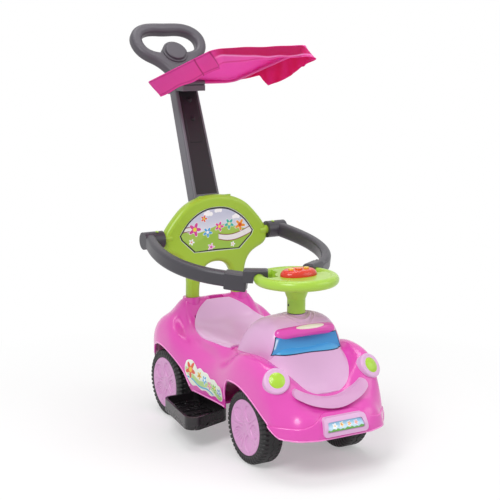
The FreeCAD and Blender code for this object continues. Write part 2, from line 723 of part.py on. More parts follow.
def make_backrest():
    x = leg_x - backrest_thickness / 2
    outer = backrest_points(backrest_outer_shares)
    inner = backrest_points(backrest_inner_shares)
    top = V(x, 0, post_top_z + backrest_height)
    arch = V(x, 0, post_top_z + backrest_arch_share * backrest_height)
    over = spline(outer + [top] + flipped(outer))
    under = spline(inner + [arch] + flipped(inner))
    edges = [over, under, Part.makeLine(outer[0], inner[0]), Part.makeLine(flipped(outer)[-1], flipped(inner)[-1])]
    solid = face_of(edges).extrude(V(backrest_thickness, 0, 0))
    long_edges = [edge for edge in solid.Edges if edge.Length > backrest_half_width]
    solid = solid.makeFillet(backrest_round, long_edges)
    side = backrest_points(panel_shares)
    corners = backrest_points(panel_corner_shares)
    crown = spline(flipped(side[1:]) + side)
    low = [side[-1]] + corners + flipped(corners) + [flipped(side)[0]]
    panel = face_of([crown] + [Part.makeLine(a, b) for a, b in zip(low, low[1:])])
    panel = panel.translated(V(backrest_thickness - panel_depth, 0, 0)).extrude(V(overrun, 0, 0))
    solid = leaned(solid.cut(panel))
    solid = solid.cut(block(-tail_reach, wheelbase, -body_half_width, body_half_width, 0, post_top_z))
    spigot = upright(spigot_radius, leg_x, leg_y, post_top_z - spigot_length, post_top_z + post_root)
    pivot = crosswise(pivot_radius, pivot_x, pivot_z, backrest_half_width - 2 * pivot_radius, pivot_reach)
    solid = solid.fuse([spigot, mirrored(spigot), pivot, mirrored(pivot), pole_boss()])
    return biggest(solid.cut(pole_tongue(seat_fit)).cut(pole_body(seat_fit)))


# Push pole
pole_foot = V(pole_foot_x, 0, pole_foot_z)


def along_pole(shape):
    shape.rotate(origin, y_axis, -pole_lean)
    shape.translate(pole_foot)
    return shape


def pole_section(width, depth, height, grow):
    half_depth, half_width = depth / 2 + grow, width / 2 + grow
    corner = [V(half_depth, half_width, height), V(-half_depth, half_width, height),
              V(-half_depth, -half_width, height), V(half_depth, -half_width, height)]
    return Part.makePolygon(corner + [corner[0]])


def pole_body(grow):
    low = pole_section(pole_foot_width, pole_foot_depth, -pole_collar_drop, grow)
    middle = pole_section(pole_foot_width, pole_foot_depth, 0, grow)
    top = pole_section(pole_top_width, pole_top_depth, pole_length, grow)
    foot_part = Part.makeLoft([low, middle], True, True)
    return along_pole(foot_part.fuse(Part.makeLoft([middle, top], True, True)).removeSplitter())


def pole_boss():
    # A sleeve round the pole's foot that reaches forward to the backrest.
    half_depth, half_width = pole_foot_depth / 2 + boss_wall, pole_foot_width / 2 + boss_wall
    sleeve = block(-half_depth, pole_foot_depth + backrest_thickness, -half_width, half_width,
                   -pole_tongue_length - boss_wall, -boss_drop)
    return along_pole(sleeve).common(block(-body_length, leg_x, -half_width, half_width, 0, body_length))


def pole_tongue(grow):
    half_depth, half_width = pole_tongue_depth / 2 + grow, pole_tongue_width / 2 + grow
    tongue = block(-half_depth, half_depth, -half_width, half_width, -pole_tongue_length - grow, 0)
    return along_pole(tongue)


def make_pole():
    body = pole_body(0)
    long_edges = [edge for edge in body.Edges if edge.Length > pole_length / 2]
    return body.makeFillet(pole_round, long_edges).fuse(pole_tongue(0)).removeSplitter()


# Push handle
pole_up = V(-math.sin(math.radians(pole_lean)), 0, math.cos(math.radians(pole_lean)))
handle_foot = pole_foot + pole_up * pole_length
handle_up = V(-math.sin(math.radians(handle_lean)), 0, math.cos(math.radians(handle_lean)))


def on_handle(shape):
    shape.rotate(origin, y_axis, -handle_lean)
    shape.translate(handle_foot)
    return shape


def handle_outline(shares, closing_share, start_line):
    # A smooth line up one side, over the top and down the other side.
    x = -handle_thickness / 2
    side = [V(x, a * handle_width, b * handle_height) for a, b in shares]
    points = side + [V(x, 0, closing_share * handle_height)] + flipped(side)
    edges = [spline(points)]
    if start_line:
        edges.append(Part.makeLine(points[-1], points[0]))
    return face_of(edges).extrude(V(handle_thickness, 0, 0))


def make_handle():
    outer = handle_outline(handle_outer_shares, 1, True)
    outer = outer.cut(handle_outline(handle_inner_shares, handle_window_share, True))
    long_edges = [edge for edge in outer.Edges if edge.Length > handle_width / 2]
    outer = outer.makeFillet(handle_round, long_edges)
    front = handle_thickness / 2
    place = V(-front, 0, cap_along_share * handle_height)
    ring = Part.makeCylinder(cap_ring_radius, handle_thickness + cap_ring_proud, place, x_axis)
    brims = [edge for edge in ring.Edges if edge.Closed]
    ring = ring.makeFillet(cap_ring_proud / 2, brims)
    seat = Part.makeCylinder(cap_radius + seat_fit, overrun, V(front, 0, place.z), x_axis)
    return biggest(on_handle(outer.fuse(ring).cut(seat)).cut(pole_body(0)))


def make_cap():
    height = cap_along_share * handle_height
    base = handle_thickness / 2
    disc = Part.makeCylinder(cap_radius, cap_height, V(base, 0, height), x_axis)
    rim = [edge for edge in disc.Edges if edge.Closed and edge.CenterOfMass.x > base + cap_height / 2]
    return on_handle(disc.makeFillet(cap_step, rim))


# Canopy
canopy_hinge = V(canopy_hinge_x, 0, canopy_hinge_z)


def tilted(shape):
    shape.rotate(origin, y_axis, -canopy_tilt)
    shape.translate(canopy_hinge)
    return shape


def make_bracket():
    depth = pole_top_depth / 2 + bracket_wall
    width = pole_top_width / 2 + bracket_wall
    clamp = along_pole(block(-depth, depth, -width, width, bracket_low, bracket_low + bracket_height))
    lug = crosswise(bracket_lug_radius, canopy_hinge_x, canopy_hinge_z, -bracket_half_width, bracket_half_width)
    pole_x = pole_foot.x + pole_up.x * (bracket_low + bracket_height / 2)
    arm = block(pole_x, canopy_hinge_x + bracket_lug_radius, -bracket_half_width, bracket_half_width,
                canopy_hinge_z - bracket_arm_drop, canopy_hinge_z - bracket_arm_top_drop)
    bore = crosswise(wire_radius + run_fit, canopy_hinge_x, canopy_hinge_z, -body_half_width, body_half_width)
    return biggest(clamp.fuse([lug, arm]).cut(bore).cut(pole_body(seat_fit)))


def make_canopy_frame():
    # One closed wire loop: the rear bar turns in the bracket.
    w, l = frame_half_width, frame_length
    rear, front = frame_rear_bend, frame_front_bend
    turn = math.sqrt(1 / 2)
    points = [V(0, -w + rear, 0), V(0, w - rear, 0), V(rear, w, 0), V(l - front, w, 0), V(l, w - front, 0),
              V(l, -w + front, 0), V(l - front, -w, 0), V(rear, -w, 0)]
    bend = [V(rear - rear * turn, w - rear + rear * turn, 0), V(l - front + front * turn, w - front + front * turn, 0),
            V(l - front + front * turn, -w + front - front * turn, 0), V(rear - rear * turn, -w + rear - rear * turn, 0)]
    path = []
    for number in range(4):
        start, end = points[2 * number], points[2 * number + 1]
        after = points[(2 * number + 2) % len(points)]
        path += [Part.makeLine(start, end), Part.Arc(end, bend[number], after).toShape()]
    section = Part.Wire(Part.makeCircle(wire_radius, V(0, 0, 0), y_axis))
    return tilted(Part.Wire(path).makePipeShell([section], True, False))


def cloth_outline(inset, z):
    # Four straight sides with round corners, drawn in by an inset.
    rear, front, side = inset - cloth_rear, cloth_front - inset, cloth_half_width - inset
    turn = 1 - math.sqrt(1 / 2)
    corners = [(front, side, -1, -1, cloth_front_round), (rear, side, 1, -1, cloth_rear_round),
               (rear, -side, 1, 1, cloth_rear_round), (front, -side, -1, 1, cloth_front_round)]
    arcs = []
    for x, y, to_x, to_y, radius in corners:
        on_side = V(x + to_x * radius, y, z)
        on_end = V(x, y + to_y * radius, z)
        between = V(x + to_x * radius * turn, y + to_y * radius * turn, z)
        ends = (on_end, on_side) if to_x * to_y > 0 else (on_side, on_end)
        arcs.append((ends[0], between, ends[1]))
    edges = []
    for number, (start, between, end) in enumerate(arcs):
        edges += [Part.Arc(start, between, end).toShape(), Part.makeLine(end, arcs[(number + 1) % len(arcs)][0])]
    return Part.Wire(Part.__sortEdges__(edges))


def cloth_solid(inset):
    # A roof with a low crown that rises and falls along its length, and skirts that lean inwards.
    edge_z = cloth_edge_z - inset
    wires = []
    for x_share, crown_share in cloth_fold_shares:
        x = x_share * (cloth_front + cloth_rear) - cloth_rear
        left, right = V(x, cloth_half_width, edge_z), V(x, -cloth_half_width, edge_z)
        crown = V(x, 0, edge_z + cloth_crown * crown_share)
        wires.append(Part.Wire([Part.Arc(right, crown, left).toShape(), Part.makeLine(left, right)]))
    roof = loft(wires)
    upright_sides = Part.Face(cloth_outline(inset, edge_z)).extrude(V(0, 0, overrun))
    low = cloth_outline(inset + skirt_tuck, cloth_edge_z - skirt_depth)
    skirt = Part.makeLoft([cloth_outline(inset, edge_z), low], True, True)
    return skirt.fuse(roof.common(upright_sides))


def make_canopy_cloth():
    cloth = cloth_solid(0).cut(cloth_solid(cloth_thickness))
    rear, front, side = -cloth_rear - overrun, cloth_front + overrun, cloth_half_width + overrun
    low_z = cloth_edge_z - skirt_depth - overrun
    hem = polygon_face([V(rear, -side, low_z), V(rear, side, low_z), V(rear, side, cloth_edge_z - hem_left_drop),
                        V(rear, -side, cloth_edge_z - hem_right_drop)]).extrude(V(front - rear, 0, 0))
    front_hem = block(cloth_front - hem_front_run, front, -side, side, low_z, cloth_edge_z - hem_front_drop)
    rear_hem = block(rear, hem_rear_run - cloth_rear, hem_rear_y, side, low_z, cloth_edge_z - hem_rear_drop)
    half = pole_top_width / 2 + bracket_wall + skirt_slot_play
    slot = block(rear, skirt_tuck, -half, half, low_z, cloth_edge_z - cloth_thickness)
    return tilted(biggest(cloth.cut([hem, front_hem, rear_hem, slot])))


# Wheels, right-hand one first: the outer face looks to -Y
def make_tyre(x):
    inner_y = wheel_width - wheel_face_y
    tyre = crosswise(wheel_radius, x, wheel_radius, -wheel_face_y, inner_y)
    brims = [edge for edge in tyre.Edges if edge.Closed]
    tyre = tyre.makeFillet(tread_round, brims)
    seat = crosswise(hubcap_radius + seat_fit, x, wheel_radius, -wheel_face_y - overrun, hubcap_depth - wheel_face_y)
    pocket = crosswise(rim_pocket_outer, x, wheel_radius, inner_y - rim_pocket_depth, inner_y + overrun)
    pocket = pocket.cut(crosswise(rim_pocket_inner, x, wheel_radius, inner_y - rim_pocket_depth, inner_y + overrun))
    bore = crosswise(axle_radius + run_fit, x, wheel_radius, -body_half_width, body_half_width)
    nut_room = crosswise(nut_radius + rest_gap, x, wheel_radius, -wheel_face_y,
                         hubcap_depth + nut_thickness + 2 * rest_gap - wheel_face_y)
    return tyre.cut([seat, pocket, bore, nut_room])


def make_hubcap(x):
    cap = crosswise(hubcap_radius, x, wheel_radius, -wheel_face_y, hubcap_depth - wheel_face_y)
    dish = Part.makeCone(hubcap_radius - hubcap_dish, hubcap_boss_radius, hubcap_dish,
                         V(x, -wheel_face_y, wheel_radius), y_axis)
    cap = cap.cut(dish)
    boss = crosswise(hubcap_boss_radius, x, wheel_radius, hubcap_dish / 2 - wheel_face_y, hubcap_depth - wheel_face_y)
    cap = cap.fuse(boss)
    half = spoke_slot_width / 2
    for number in range(spoke_count):
        slot = block(x + spoke_slot_inner, x + spoke_slot_outer, -wheel_face_y - overrun,
                     hubcap_dish + spoke_slot_depth / 2 - wheel_face_y, wheel_radius - half, wheel_radius + half)
        slot.rotate(V(x, 0, wheel_radius), y_axis, 360 * number / spoke_count)
        cap = cap.cut(slot)
    return cap.removeSplitter()


nut_outer_y = wheel_face_y - hubcap_depth - rest_gap


def make_nut(x):
    nut = crosswise(nut_radius, x, wheel_radius, -nut_outer_y, nut_thickness - nut_outer_y)
    return nut.cut(crosswise(axle_radius + seat_fit, x, wheel_radius, -body_half_width, body_half_width))


wheel_inner_y = wheel_face_y - wheel_width


def make_spacer():
    inner = saddle_y + saddle_thickness / 2
    ring = crosswise(spacer_radius, 0, wheel_radius, -wheel_inner_y + rest_gap, -inner)
    return ring.cut(crosswise(axle_radius + seat_fit, 0, wheel_radius, -body_half_width, body_half_width))


# Knuckles and linkage, right-hand knuckle first
link_x = column_x - crank_length
arm_length = front_x - link_x
pin_low_z = knuckle_arm_low_z - link_pin_drop


def link_pin(y):
    pin = upright(link_pin_radius, link_x, y, pin_low_z, knuckle_arm_low_z)
    return pin.fuse(upright(link_head_radius, link_x, y, pin_low_z, pin_low_z + link_head_height))


def make_knuckle():
    sleeve = upright(sleeve_radius, front_x, -kingpin_y, sleeve_low_z, tub_floor_z - keel_thickness - rest_gap)
    stub = crosswise(axle_radius, front_x, wheel_radius, -nut_outer_y, -kingpin_y)
    shoulder = crosswise(spacer_radius, front_x, wheel_radius, -wheel_inner_y + rest_gap, -kingpin_y)
    arm = block(link_x, front_x, -kingpin_y - knuckle_arm_width / 2, -kingpin_y + knuckle_arm_width / 2,
                knuckle_arm_low_z, knuckle_arm_low_z + knuckle_arm_height)
    tip = upright(knuckle_arm_width / 2, link_x, -kingpin_y, knuckle_arm_low_z,
                  knuckle_arm_low_z + knuckle_arm_height)
    knuckle = sleeve.fuse([stub, shoulder, arm, tip, link_pin(-kingpin_y)])
    return knuckle.cut(upright(kingpin_radius + run_fit, front_x, -kingpin_y, 0, deck_height)).removeSplitter()


def make_kingpin():
    return upright(kingpin_radius, front_x, -kingpin_y, kingpin_low_z, tub_floor_z + boss_height - wall)


def make_kingpin_nut():
    nut = upright(sleeve_radius, front_x, -kingpin_y, sleeve_low_z - rest_gap - nut_thickness, sleeve_low_z - rest_gap)
    return nut.cut(upright(kingpin_radius + seat_fit, front_x, -kingpin_y, 0, deck_height))


def make_tie_rod():
    top_z = knuckle_arm_low_z - rest_gap
    bar = block(link_x - tie_rod_width / 2, link_x + tie_rod_width / 2, -kingpin_y - tie_rod_end,
                kingpin_y + tie_rod_end, top_z - tie_rod_thickness, top_z)
    slack = crank_length * (1 - math.cos(math.radians(steer_limit)))
    reach = link_pin_radius + link_play
    for y in (-kingpin_y, 0, kingpin_y):
        near = upright(reach, link_x, y, 0, deck_height)
        far = upright(reach, link_x + slack, y, 0, deck_height)
        bar = bar.cut([near, far, block(link_x, link_x + slack, y - reach, y + reach, 0, deck_height)])
    return bar


def make_steering_rod():
    rod = upright(rod_radius, column_x, 0, knuckle_arm_low_z, rod_top_z)
    crank = block(link_x, column_x, -crank_width / 2, crank_width / 2, knuckle_arm_low_z,
                  knuckle_arm_low_z + knuckle_arm_height)
    tip = upright(crank_width / 2, link_x, 0, knuckle_arm_low_z, knuckle_arm_low_z + knuckle_arm_height)
    root = upright(crank_width / 2, column_x, 0, knuckle_arm_low_z, knuckle_arm_low_z + knuckle_arm_height)
    collar_z = tub_floor_z + boss_height / 2 + rest_gap
    collar = upright(rod_collar_radius, column_x, 0, collar_z, collar_z + rod_collar_height)
    return rod.fuse([crank, tip, root, collar, link_pin(0)]).removeSplitter()


# Steering wheel
def about_column(x0, x1, half_width, z0, z1):
    return block(column_x + x0, column_x + x1, -half_width, half_width, z0, z1)


def make_steering_wheel():
    rim = Part.makeTorus(rim_radius, rim_tube_radius, V(column_x, 0, rim_z))
    plate = upright(rim_radius, column_x, 0, plate_low_z, plate_top_z)
    front = plate.common(about_column(plate_rear_x, rim_radius, rim_radius, plate_low_z, plate_top_z))
    hub = upright(hub_plate_radius, column_x, 0, plate_low_z, plate_top_z)
    spoke = about_column(-rim_radius, 0, spoke_half_width, plate_low_z, plate_top_z)
    column = upright(sleeve_column_radius, column_x, 0, sleeve_column_low_z, plate_low_z)
    flare = Part.makeCone(sleeve_column_radius, sleeve_flare_radius, sleeve_flare_height,
                          V(column_x, 0, plate_low_z - sleeve_flare_height))
    wheel = rim.fuse([front, hub, spoke, column, flare])
    battery_room = about_column(battery_room_rear_x, battery_room_front_x, battery_room_half_width,
                                plate_low_z - overrun, battery_room_top_z)
    board_room = about_column(board_room_rear_x, board_room_front_x, board_room_half_width, board_room_floor_z,
                              plate_top_z + overrun)
    rod_bore = upright(rod_radius + seat_fit, column_x, 0, 0, rod_top_z)
    return biggest(wheel.cut([battery_room, board_room, rod_bore]).removeSplitter())


def make_battery_door():
    return about_column(battery_room_rear_x + seat_fit, battery_room_front_x - seat_fit,
                        battery_room_half_width - seat_fit, plate_low_z, plate_low_z + battery_door_thickness)


def make_cells():
    floor = plate_low_z + battery_door_thickness + seat_fit + cell_radius
    middle = column_x + (battery_room_rear_x + battery_room_front_x) / 2
    offset = cell_radius + seat_fit
    return Part.makeCompound([crosswise(cell_radius, middle + side * offset, floor, -cell_length / 2, cell_length / 2)
                              for side in (-1, 1)])


def make_board():
    return about_column(board_room_rear_x + seat_fit, board_room_front_x - seat_fit, board_room_half_width - seat_fit,
                        board_z, board_z + board_thickness)


def make_speaker():
    return upright(speaker_radius, column_x + (board_room_rear_x + board_room_front_x) / 2, 0, board_room_floor_z,
                   board_room_floor_z + speaker_height)


# Sound housing and buttons
def housing_solid(inset, drop):
    wires = []
    for level, size_share in housing_level_shares:
        ellipse = Part.Ellipse(V(column_x + housing_x, 0, plate_top_z + level * (housing_height - inset) - drop),
                               housing_half_width * size_share - inset, housing_half_length * size_share - inset)
        wire = Part.Wire(ellipse.toShape())
        wire.rotate(V(column_x + housing_x, 0, 0), z_axis, 90)
        wires.append(wire)
    return loft(wires)


button_list = {"button_left": (button_y, button_radius), "button_middle": (0, middle_button_radius),
               "button_right": (-button_y, button_radius)}


def make_housing():
    shell = housing_solid(0, 0).cut(housing_solid(housing_wall, 0))
    holes = [upright(radius + button_play, column_x + housing_x, y, plate_top_z + housing_height / 2,
                     plate_top_z + housing_height + overrun) for y, radius in button_list.values()]
    return shell.cut(holes)


def make_button(y, radius):
    x = column_x + housing_x
    inner_top = plate_top_z + housing_height - housing_wall
    flange_top = inner_top - button_play
    stem = upright(radius, x, y, flange_top - button_flange_height, plate_top_z + housing_height + button_proud)
    flange = upright(radius + button_flange, x, y, flange_top - button_flange_height, flange_top)
    return stem.fuse(flange).removeSplitter()


# Seat lid
def make_seat():
    # A skin over the deck, inside one outline seen from above, with the hinge bead at its front.
    side = [V(seat_rear_x + a * seat_length, b * seat_half_width, tub_floor_z) for a, b in seat_outline_shares]
    other = flipped(side)
    outline = face_of([spline(side), spline(other), Part.makeLine(side[-1], other[0]),
                       Part.makeLine(other[-1], side[0])])
    lid = outline.extrude(V(0, 0, deck_height)).common(body_solid(seat_proud)).cut(body_solid(rest_gap))
    bead = crosswise(seat_bead_radius, seat_hinge_x, seat_hinge_z, -seat_bead_half_length, seat_bead_half_length)
    leaf = block(seat_rear_x + seat_length - overrun, seat_hinge_x, -seat_bead_half_length, seat_bead_half_length,
                 seat_hinge_z - seat_leaf_thickness / 2, seat_hinge_z + seat_leaf_thickness / 2)
    leaf = leaf.cut(body_solid(rest_gap))
    pin_bore = crosswise(seat_pin_radius + run_fit, seat_hinge_x, seat_hinge_z, -body_half_width, body_half_width)
    return biggest(biggest(lid).fuse([bead, leaf]).cut(pin_bore))


def make_seat_pin():
    reach = seat_lug_y + seat_lug_thickness
    return crosswise(seat_pin_radius, seat_hinge_x, seat_hinge_z, -reach, reach)


# Guard arms, right-hand one first
def arm_line():
    middle = Part.BSplineCurve()
    middle.interpolate([V(a * arm_reach, -b * arm_bulge, 0) for a, b in arm_line_shares])
    return middle


def arm_edges():
    # The two sides of the middle line, half a width away along the line's normal.
    middle = arm_line()
    first, last = middle.FirstParameter, middle.LastParameter
    inner, outer = [], []
    steps = 2 * len(arm_line_shares)
    for number in range(steps + 1):
        where = first + (last - first) * number / steps
        point, along = middle.value(where), middle.tangent(where)[0]
        normal = V(-along.y, along.x, 0) * arm_half_width
        inner.append(point + normal)
        outer.append(point - normal)
    return spline(inner), spline(outer), inner, outer


def arm_end():
    # The block in which the arm ends, in line with it.
    middle = arm_line()
    tip, along = middle.value(middle.LastParameter), middle.tangent(middle.LastParameter)[0]
    half = arm_half_width + arm_end_grow
    end = block(-arm_end_length, 0, -half, half, -arm_height / 2 - arm_end_drop, arm_height / 2)
    end = end.makeFillet(arm_end_round, end.Edges)
    end.rotate(origin, z_axis, math.degrees(math.atan2(along.y, along.x)))
    return end.translated(tip)


def make_arm():
    inner, outer, inner_points, outer_points = arm_edges()
    face = face_of([inner, outer, Part.makeLine(inner_points[0], outer_points[0]),
                    Part.makeLine(inner_points[-1], outer_points[-1])])
    arm = face.translated(V(0, 0, -arm_height / 2)).extrude(V(0, 0, arm_height))
    long_edges = [edge for edge in arm.Edges if edge.Length > arm_reach / 2]
    arm = arm.makeFillet(arm_round, long_edges).fuse(arm_end())
    arm.rotate(origin, y_axis, arm_slope)
    arm.translate(V(pivot_x, 0, pivot_z))
    socket = crosswise(socket_radius, pivot_x, pivot_z, -socket_outer_y, -socket_inner_y)
    angle = math.radians(180 - claw_angle)
    claw = block(rim_radius - claw_inner, rim_radius + claw_outer, -claw_half_width, claw_half_width,
                 rim_z - claw_drop, rim_z + rim_tube_radius + claw_cover)
    top = [edge for edge in claw.Edges if edge.CenterOfMass.z > rim_z + rim_tube_radius + claw_cover / 2]
    claw = claw.makeFillet(claw_round, top)
    claw.rotate(origin, z_axis, -math.degrees(angle))
    claw.translate(V(column_x, 0, 0))
    arm = arm.fuse([socket, claw])
    reach = rim_tube_radius + claw_gap
    rim = Part.makeTorus(rim_radius, reach, V(column_x, 0, rim_z))
    slot = upright(rim_radius + reach, column_x, 0, 0, rim_z).cut(upright(rim_radius - reach, column_x, 0, 0, rim_z))
    bore = crosswise(pivot_radius + run_fit, pivot_x, pivot_z, -pivot_reach - rest_gap, 0)
    return biggest(arm.cut([rim, slot, bore]))


# Screws, each with the hole that it leaves in the pieces it holds
def screw(place, direction):
    head = Part.makeCylinder(screw_head_radius, screw_head_height, place - direction * screw_head_height, direction)
    return head.fuse(Part.makeCylinder(screw_radius, screw_length, place, direction))


def tray_screws():
    y = upstand_inner_y + upstand_thickness / 2
    places = [upstand_rear_x + upstand_thickness, upstand_front_x - upstand_thickness]
    return [screw(V(x, side * y, tub_floor_z), V(0, 0, -1)) for x in places for side in (-1, 1)]


def build():
    pieces["body_shell"] = make_body_shell()
    pieces["underbody"] = make_underbody()
    pieces["front_cowl"] = make_cowl()
    pieces["steering_bush"] = make_bush()
    pieces["visor_bar"] = make_visor()
    for side, flip in (("left", False), ("right", True)):
        bezel, lens = make_bezel(), make_lens()
        pieces["headlight_bezel_" + side] = mirrored(bezel) if flip else bezel
        pieces["headlight_lens_" + side] = mirrored(lens) if flip else lens
    pieces["bumper_bar"] = make_bumper_bar()
    pieces["plate_frame"] = make_plate_frame()
    pieces["number_plate"] = make_plate()
    pieces["backrest"] = make_backrest()
    pieces["push_pole"] = make_pole()
    pieces["push_handle"] = make_handle()
    pieces["handle_cap"] = make_cap()
    pieces["canopy_bracket"] = make_bracket()
    pieces["canopy_frame"] = make_canopy_frame()
    pieces["canopy_cloth"] = make_canopy_cloth()
    pieces["rear_axle"] = crosswise(axle_radius, 0, wheel_radius, -nut_outer_y, nut_outer_y)
    pieces["axle_spacers"] = Part.makeCompound([make_spacer(), mirrored(make_spacer())])
    pieces["rear_push_nuts"] = Part.makeCompound([make_nut(0), mirrored(make_nut(0))])
    pieces["king_pins"] = Part.makeCompound([make_kingpin(), mirrored(make_kingpin())])
    pieces["king_pin_nuts"] = Part.makeCompound([make_kingpin_nut(), mirrored(make_kingpin_nut())])
    pieces["tie_rod"] = make_tie_rod()
    pieces["steering_rod"] = make_steering_rod()
    pieces["steering_wheel"] = make_steering_wheel()
    pieces["battery_door"] = make_battery_door()
    pieces["battery_cells"] = make_cells()
    pieces["circuit_board"] = make_board()
    pieces["speaker"] = make_speaker()
    pieces["sound_housing"] = make_housing()
    for name, (y, radius) in button_list.items():
        pieces[name] = make_button(y, radius)
    pieces["seat_lid"] = make_seat()
    pieces["seat_hinge_pin"] = make_seat_pin()
    right_only = {"foot_tray": make_tray(), "guard_arm": make_arm(), "steering_knuckle": make_knuckle(),
                  "stub_push_nut": make_nut(front_x), "front_wheel": make_tyre(front_x),
                  "rear_wheel": make_tyre(0), "front_hubcap": make_hubcap(front_x), "rear_hubcap": make_hubcap(0)}
    for name, shape in right_only.items():
        pieces[name + "_right"] = shape
        pieces[name + "_left"] = mirrored(shape)
    screws = tray_screws()
    for name in ("underbody", "foot_tray_right", "foot_tray_left"):
        pieces[name] = pieces[name].cut(screws)
    pieces["tray_screws"] = Part.makeCompound(screws)


build()
car_box = Part.makeCompound(list(pieces.values())).optimalBoundingBox(False, False)
shift = V(-(car_box.XMin + car_box.XMax) / 2, 0, -car_box.ZMin)
os.makedirs("parts", exist_ok=True)
for node, shape in pieces.items():
    shape.translate(shift)
    shape.exportStep("parts/" + node + ".step")
    print(node, "solids", len(shape.Solids), "volume", round(shape.Volume), "valid", shape.isValid())
print("moved by", round(shift.x, 3), round(shift.z, 3), "box", car_box)
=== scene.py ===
import math

import bpy
import numpy as np
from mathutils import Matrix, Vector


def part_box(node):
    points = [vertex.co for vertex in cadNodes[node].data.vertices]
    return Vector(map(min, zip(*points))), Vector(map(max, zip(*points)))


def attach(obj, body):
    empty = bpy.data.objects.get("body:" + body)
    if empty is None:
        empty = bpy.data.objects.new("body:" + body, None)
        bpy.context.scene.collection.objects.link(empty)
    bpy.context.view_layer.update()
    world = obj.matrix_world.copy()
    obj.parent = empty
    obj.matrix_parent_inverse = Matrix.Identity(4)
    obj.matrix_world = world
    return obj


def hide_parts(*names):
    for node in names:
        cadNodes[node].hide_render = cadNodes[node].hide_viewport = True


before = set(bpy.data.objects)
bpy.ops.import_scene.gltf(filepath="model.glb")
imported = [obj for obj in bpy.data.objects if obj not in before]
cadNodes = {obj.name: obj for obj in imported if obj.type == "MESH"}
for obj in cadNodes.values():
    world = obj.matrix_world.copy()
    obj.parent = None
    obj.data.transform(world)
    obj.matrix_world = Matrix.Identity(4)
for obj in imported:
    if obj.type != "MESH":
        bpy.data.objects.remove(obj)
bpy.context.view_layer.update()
scene = bpy.context.scene
scene.view_settings.view_transform = "Standard"

axleLow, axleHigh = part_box("rear_axle")
rearAxleX = (axleLow.x + axleHigh.x) / 2      # every x below is measured from the rear axle, in mm
wheelbase = 360.5
sides = {"right": -1, "left": 1}


def placed(points):
    # millimetres from the rear axle to metres in the row frame
    return np.asarray(points, float) * 0.001 + np.array([rearAxleX, 0, 0])


def linear(hexText):
    # sRGB hex to linear colour: the standard two-part curve
    code = hexText.lstrip("#")
    s = np.array([int(code[i:i + 2], 16) for i in (0, 2, 4)]) / 255
    return tuple(np.where(s <= 0.04045, s / 12.92, ((s + 0.055) / 1.055) ** 2.4)) + (1.0,)


def feed(tree, node, inputs):
    # sets a node's sockets: plain values directly, other nodes' sockets by a link
    for key, value in inputs.items():
        socket = node.inputs[key]
        if isinstance(value, bpy.types.NodeSocket):
            tree.links.new(value, socket)
        else:
            socket.default_value = value


def add(tree, kind, inputs=None, **settings):
    # one node: settings are its properties, inputs are values or sockets to link from
    node = tree.nodes.new(kind)
    for key, value in settings.items():
        setattr(node, key, value)
    feed(tree, node, inputs or {})
    return node


def newMaterial(name, coordinates="Object"):
    # a material with its tree, its shader and the place of a point: Object coordinates in metres, or the UV map
    material = bpy.data.materials.new(name)
    material.use_nodes = True
    tree = material.node_tree
    where = add(tree, "ShaderNodeTexCoord").outputs[coordinates]
    return material, tree, tree.nodes["Principled BSDF"], where


def perMetre(sizeMm):
    # how often a pattern of that size repeats in a metre
    return 1000 / sizeMm


def noise(tree, where, sizeMm, detail):
    # soft noise with lumps of that size
    node = add(tree, "ShaderNodeTexNoise", {"Vector": where, "Scale": perMetre(sizeMm), "Detail": detail})
    return node.outputs["Fac"]


def ranged(tree, value, low, high, start=0.0, end=1.0):
    # carries start to end over to low to high
    return add(tree, "ShaderNodeMapRange", {"Value": value, 1: start, 2: end, 3: low, 4: high}).outputs[0]


def mixed(tree, share, first, second, **settings):
    # two colours, by the share of the second
    node = add(tree, "ShaderNodeMix", {"Factor": share, 6: first, 7: second}, data_type="RGBA", **settings)
    return node.outputs[2]


def times(tree, first, second):
    return add(tree, "ShaderNodeMath", {0: first, 1: second}, operation="MULTIPLY").outputs[0]


def bumped(tree, height, strength, depthMm, under=None):
    # relief of that depth, laid over an earlier one where there is one
    node = add(tree, "ShaderNodeBump", {"Height": height, "Strength": strength, "Distance": depthMm * 0.001})
    feed(tree, node, {} if under is None else {"Normal": under})
    return node.outputs["Normal"]


def mouldedPlastic(name, colour, deep, roughness, peelMm=4.0, peelDepthMm=0.02, grainMm=0.0, coat=0.0, ior=1.5,
                   specular=0.5):
    # Moulded plastic: a cloudy drift of pigment, orange peel from the tool and, on satin parts, spark-eroded grain
    material, tree, shader, where = newMaterial(name)
    cloud = noise(tree, where, 90, 3.0)
    bump = bumped(tree, noise(tree, where, peelMm, 1.0), 1.0, peelDepthMm)
    if grainMm:
        bump = bumped(tree, noise(tree, where, grainMm, 2.0), 0.6, 0.08, bump)
    feed(tree, shader, {
        "Base Color": mixed(tree, cloud, linear(deep), linear(colour)), "Normal": bump,
        "Roughness": ranged(tree, cloud, roughness * 0.9, roughness * 1.1),
        "IOR": ior, "Specular IOR Level": specular, "Coat Weight": coat, "Coat Roughness": 0.12})
    return material


# Blow-moulded polyethylene, pigmented through: soft gloss with a wide highlight; rolled edges are given a paler pink,
# a painted highlight
bodyPink = mouldedPlastic("polyethyleneHotPink", "#E64EB9", "#E046B1", 0.24, coat=0.3)
paleHighlightPink = mouldedPlastic("polyethylenePinkPaintedHighlight", "#F58ED6", "#F286D0", 0.2, coat=0.4)
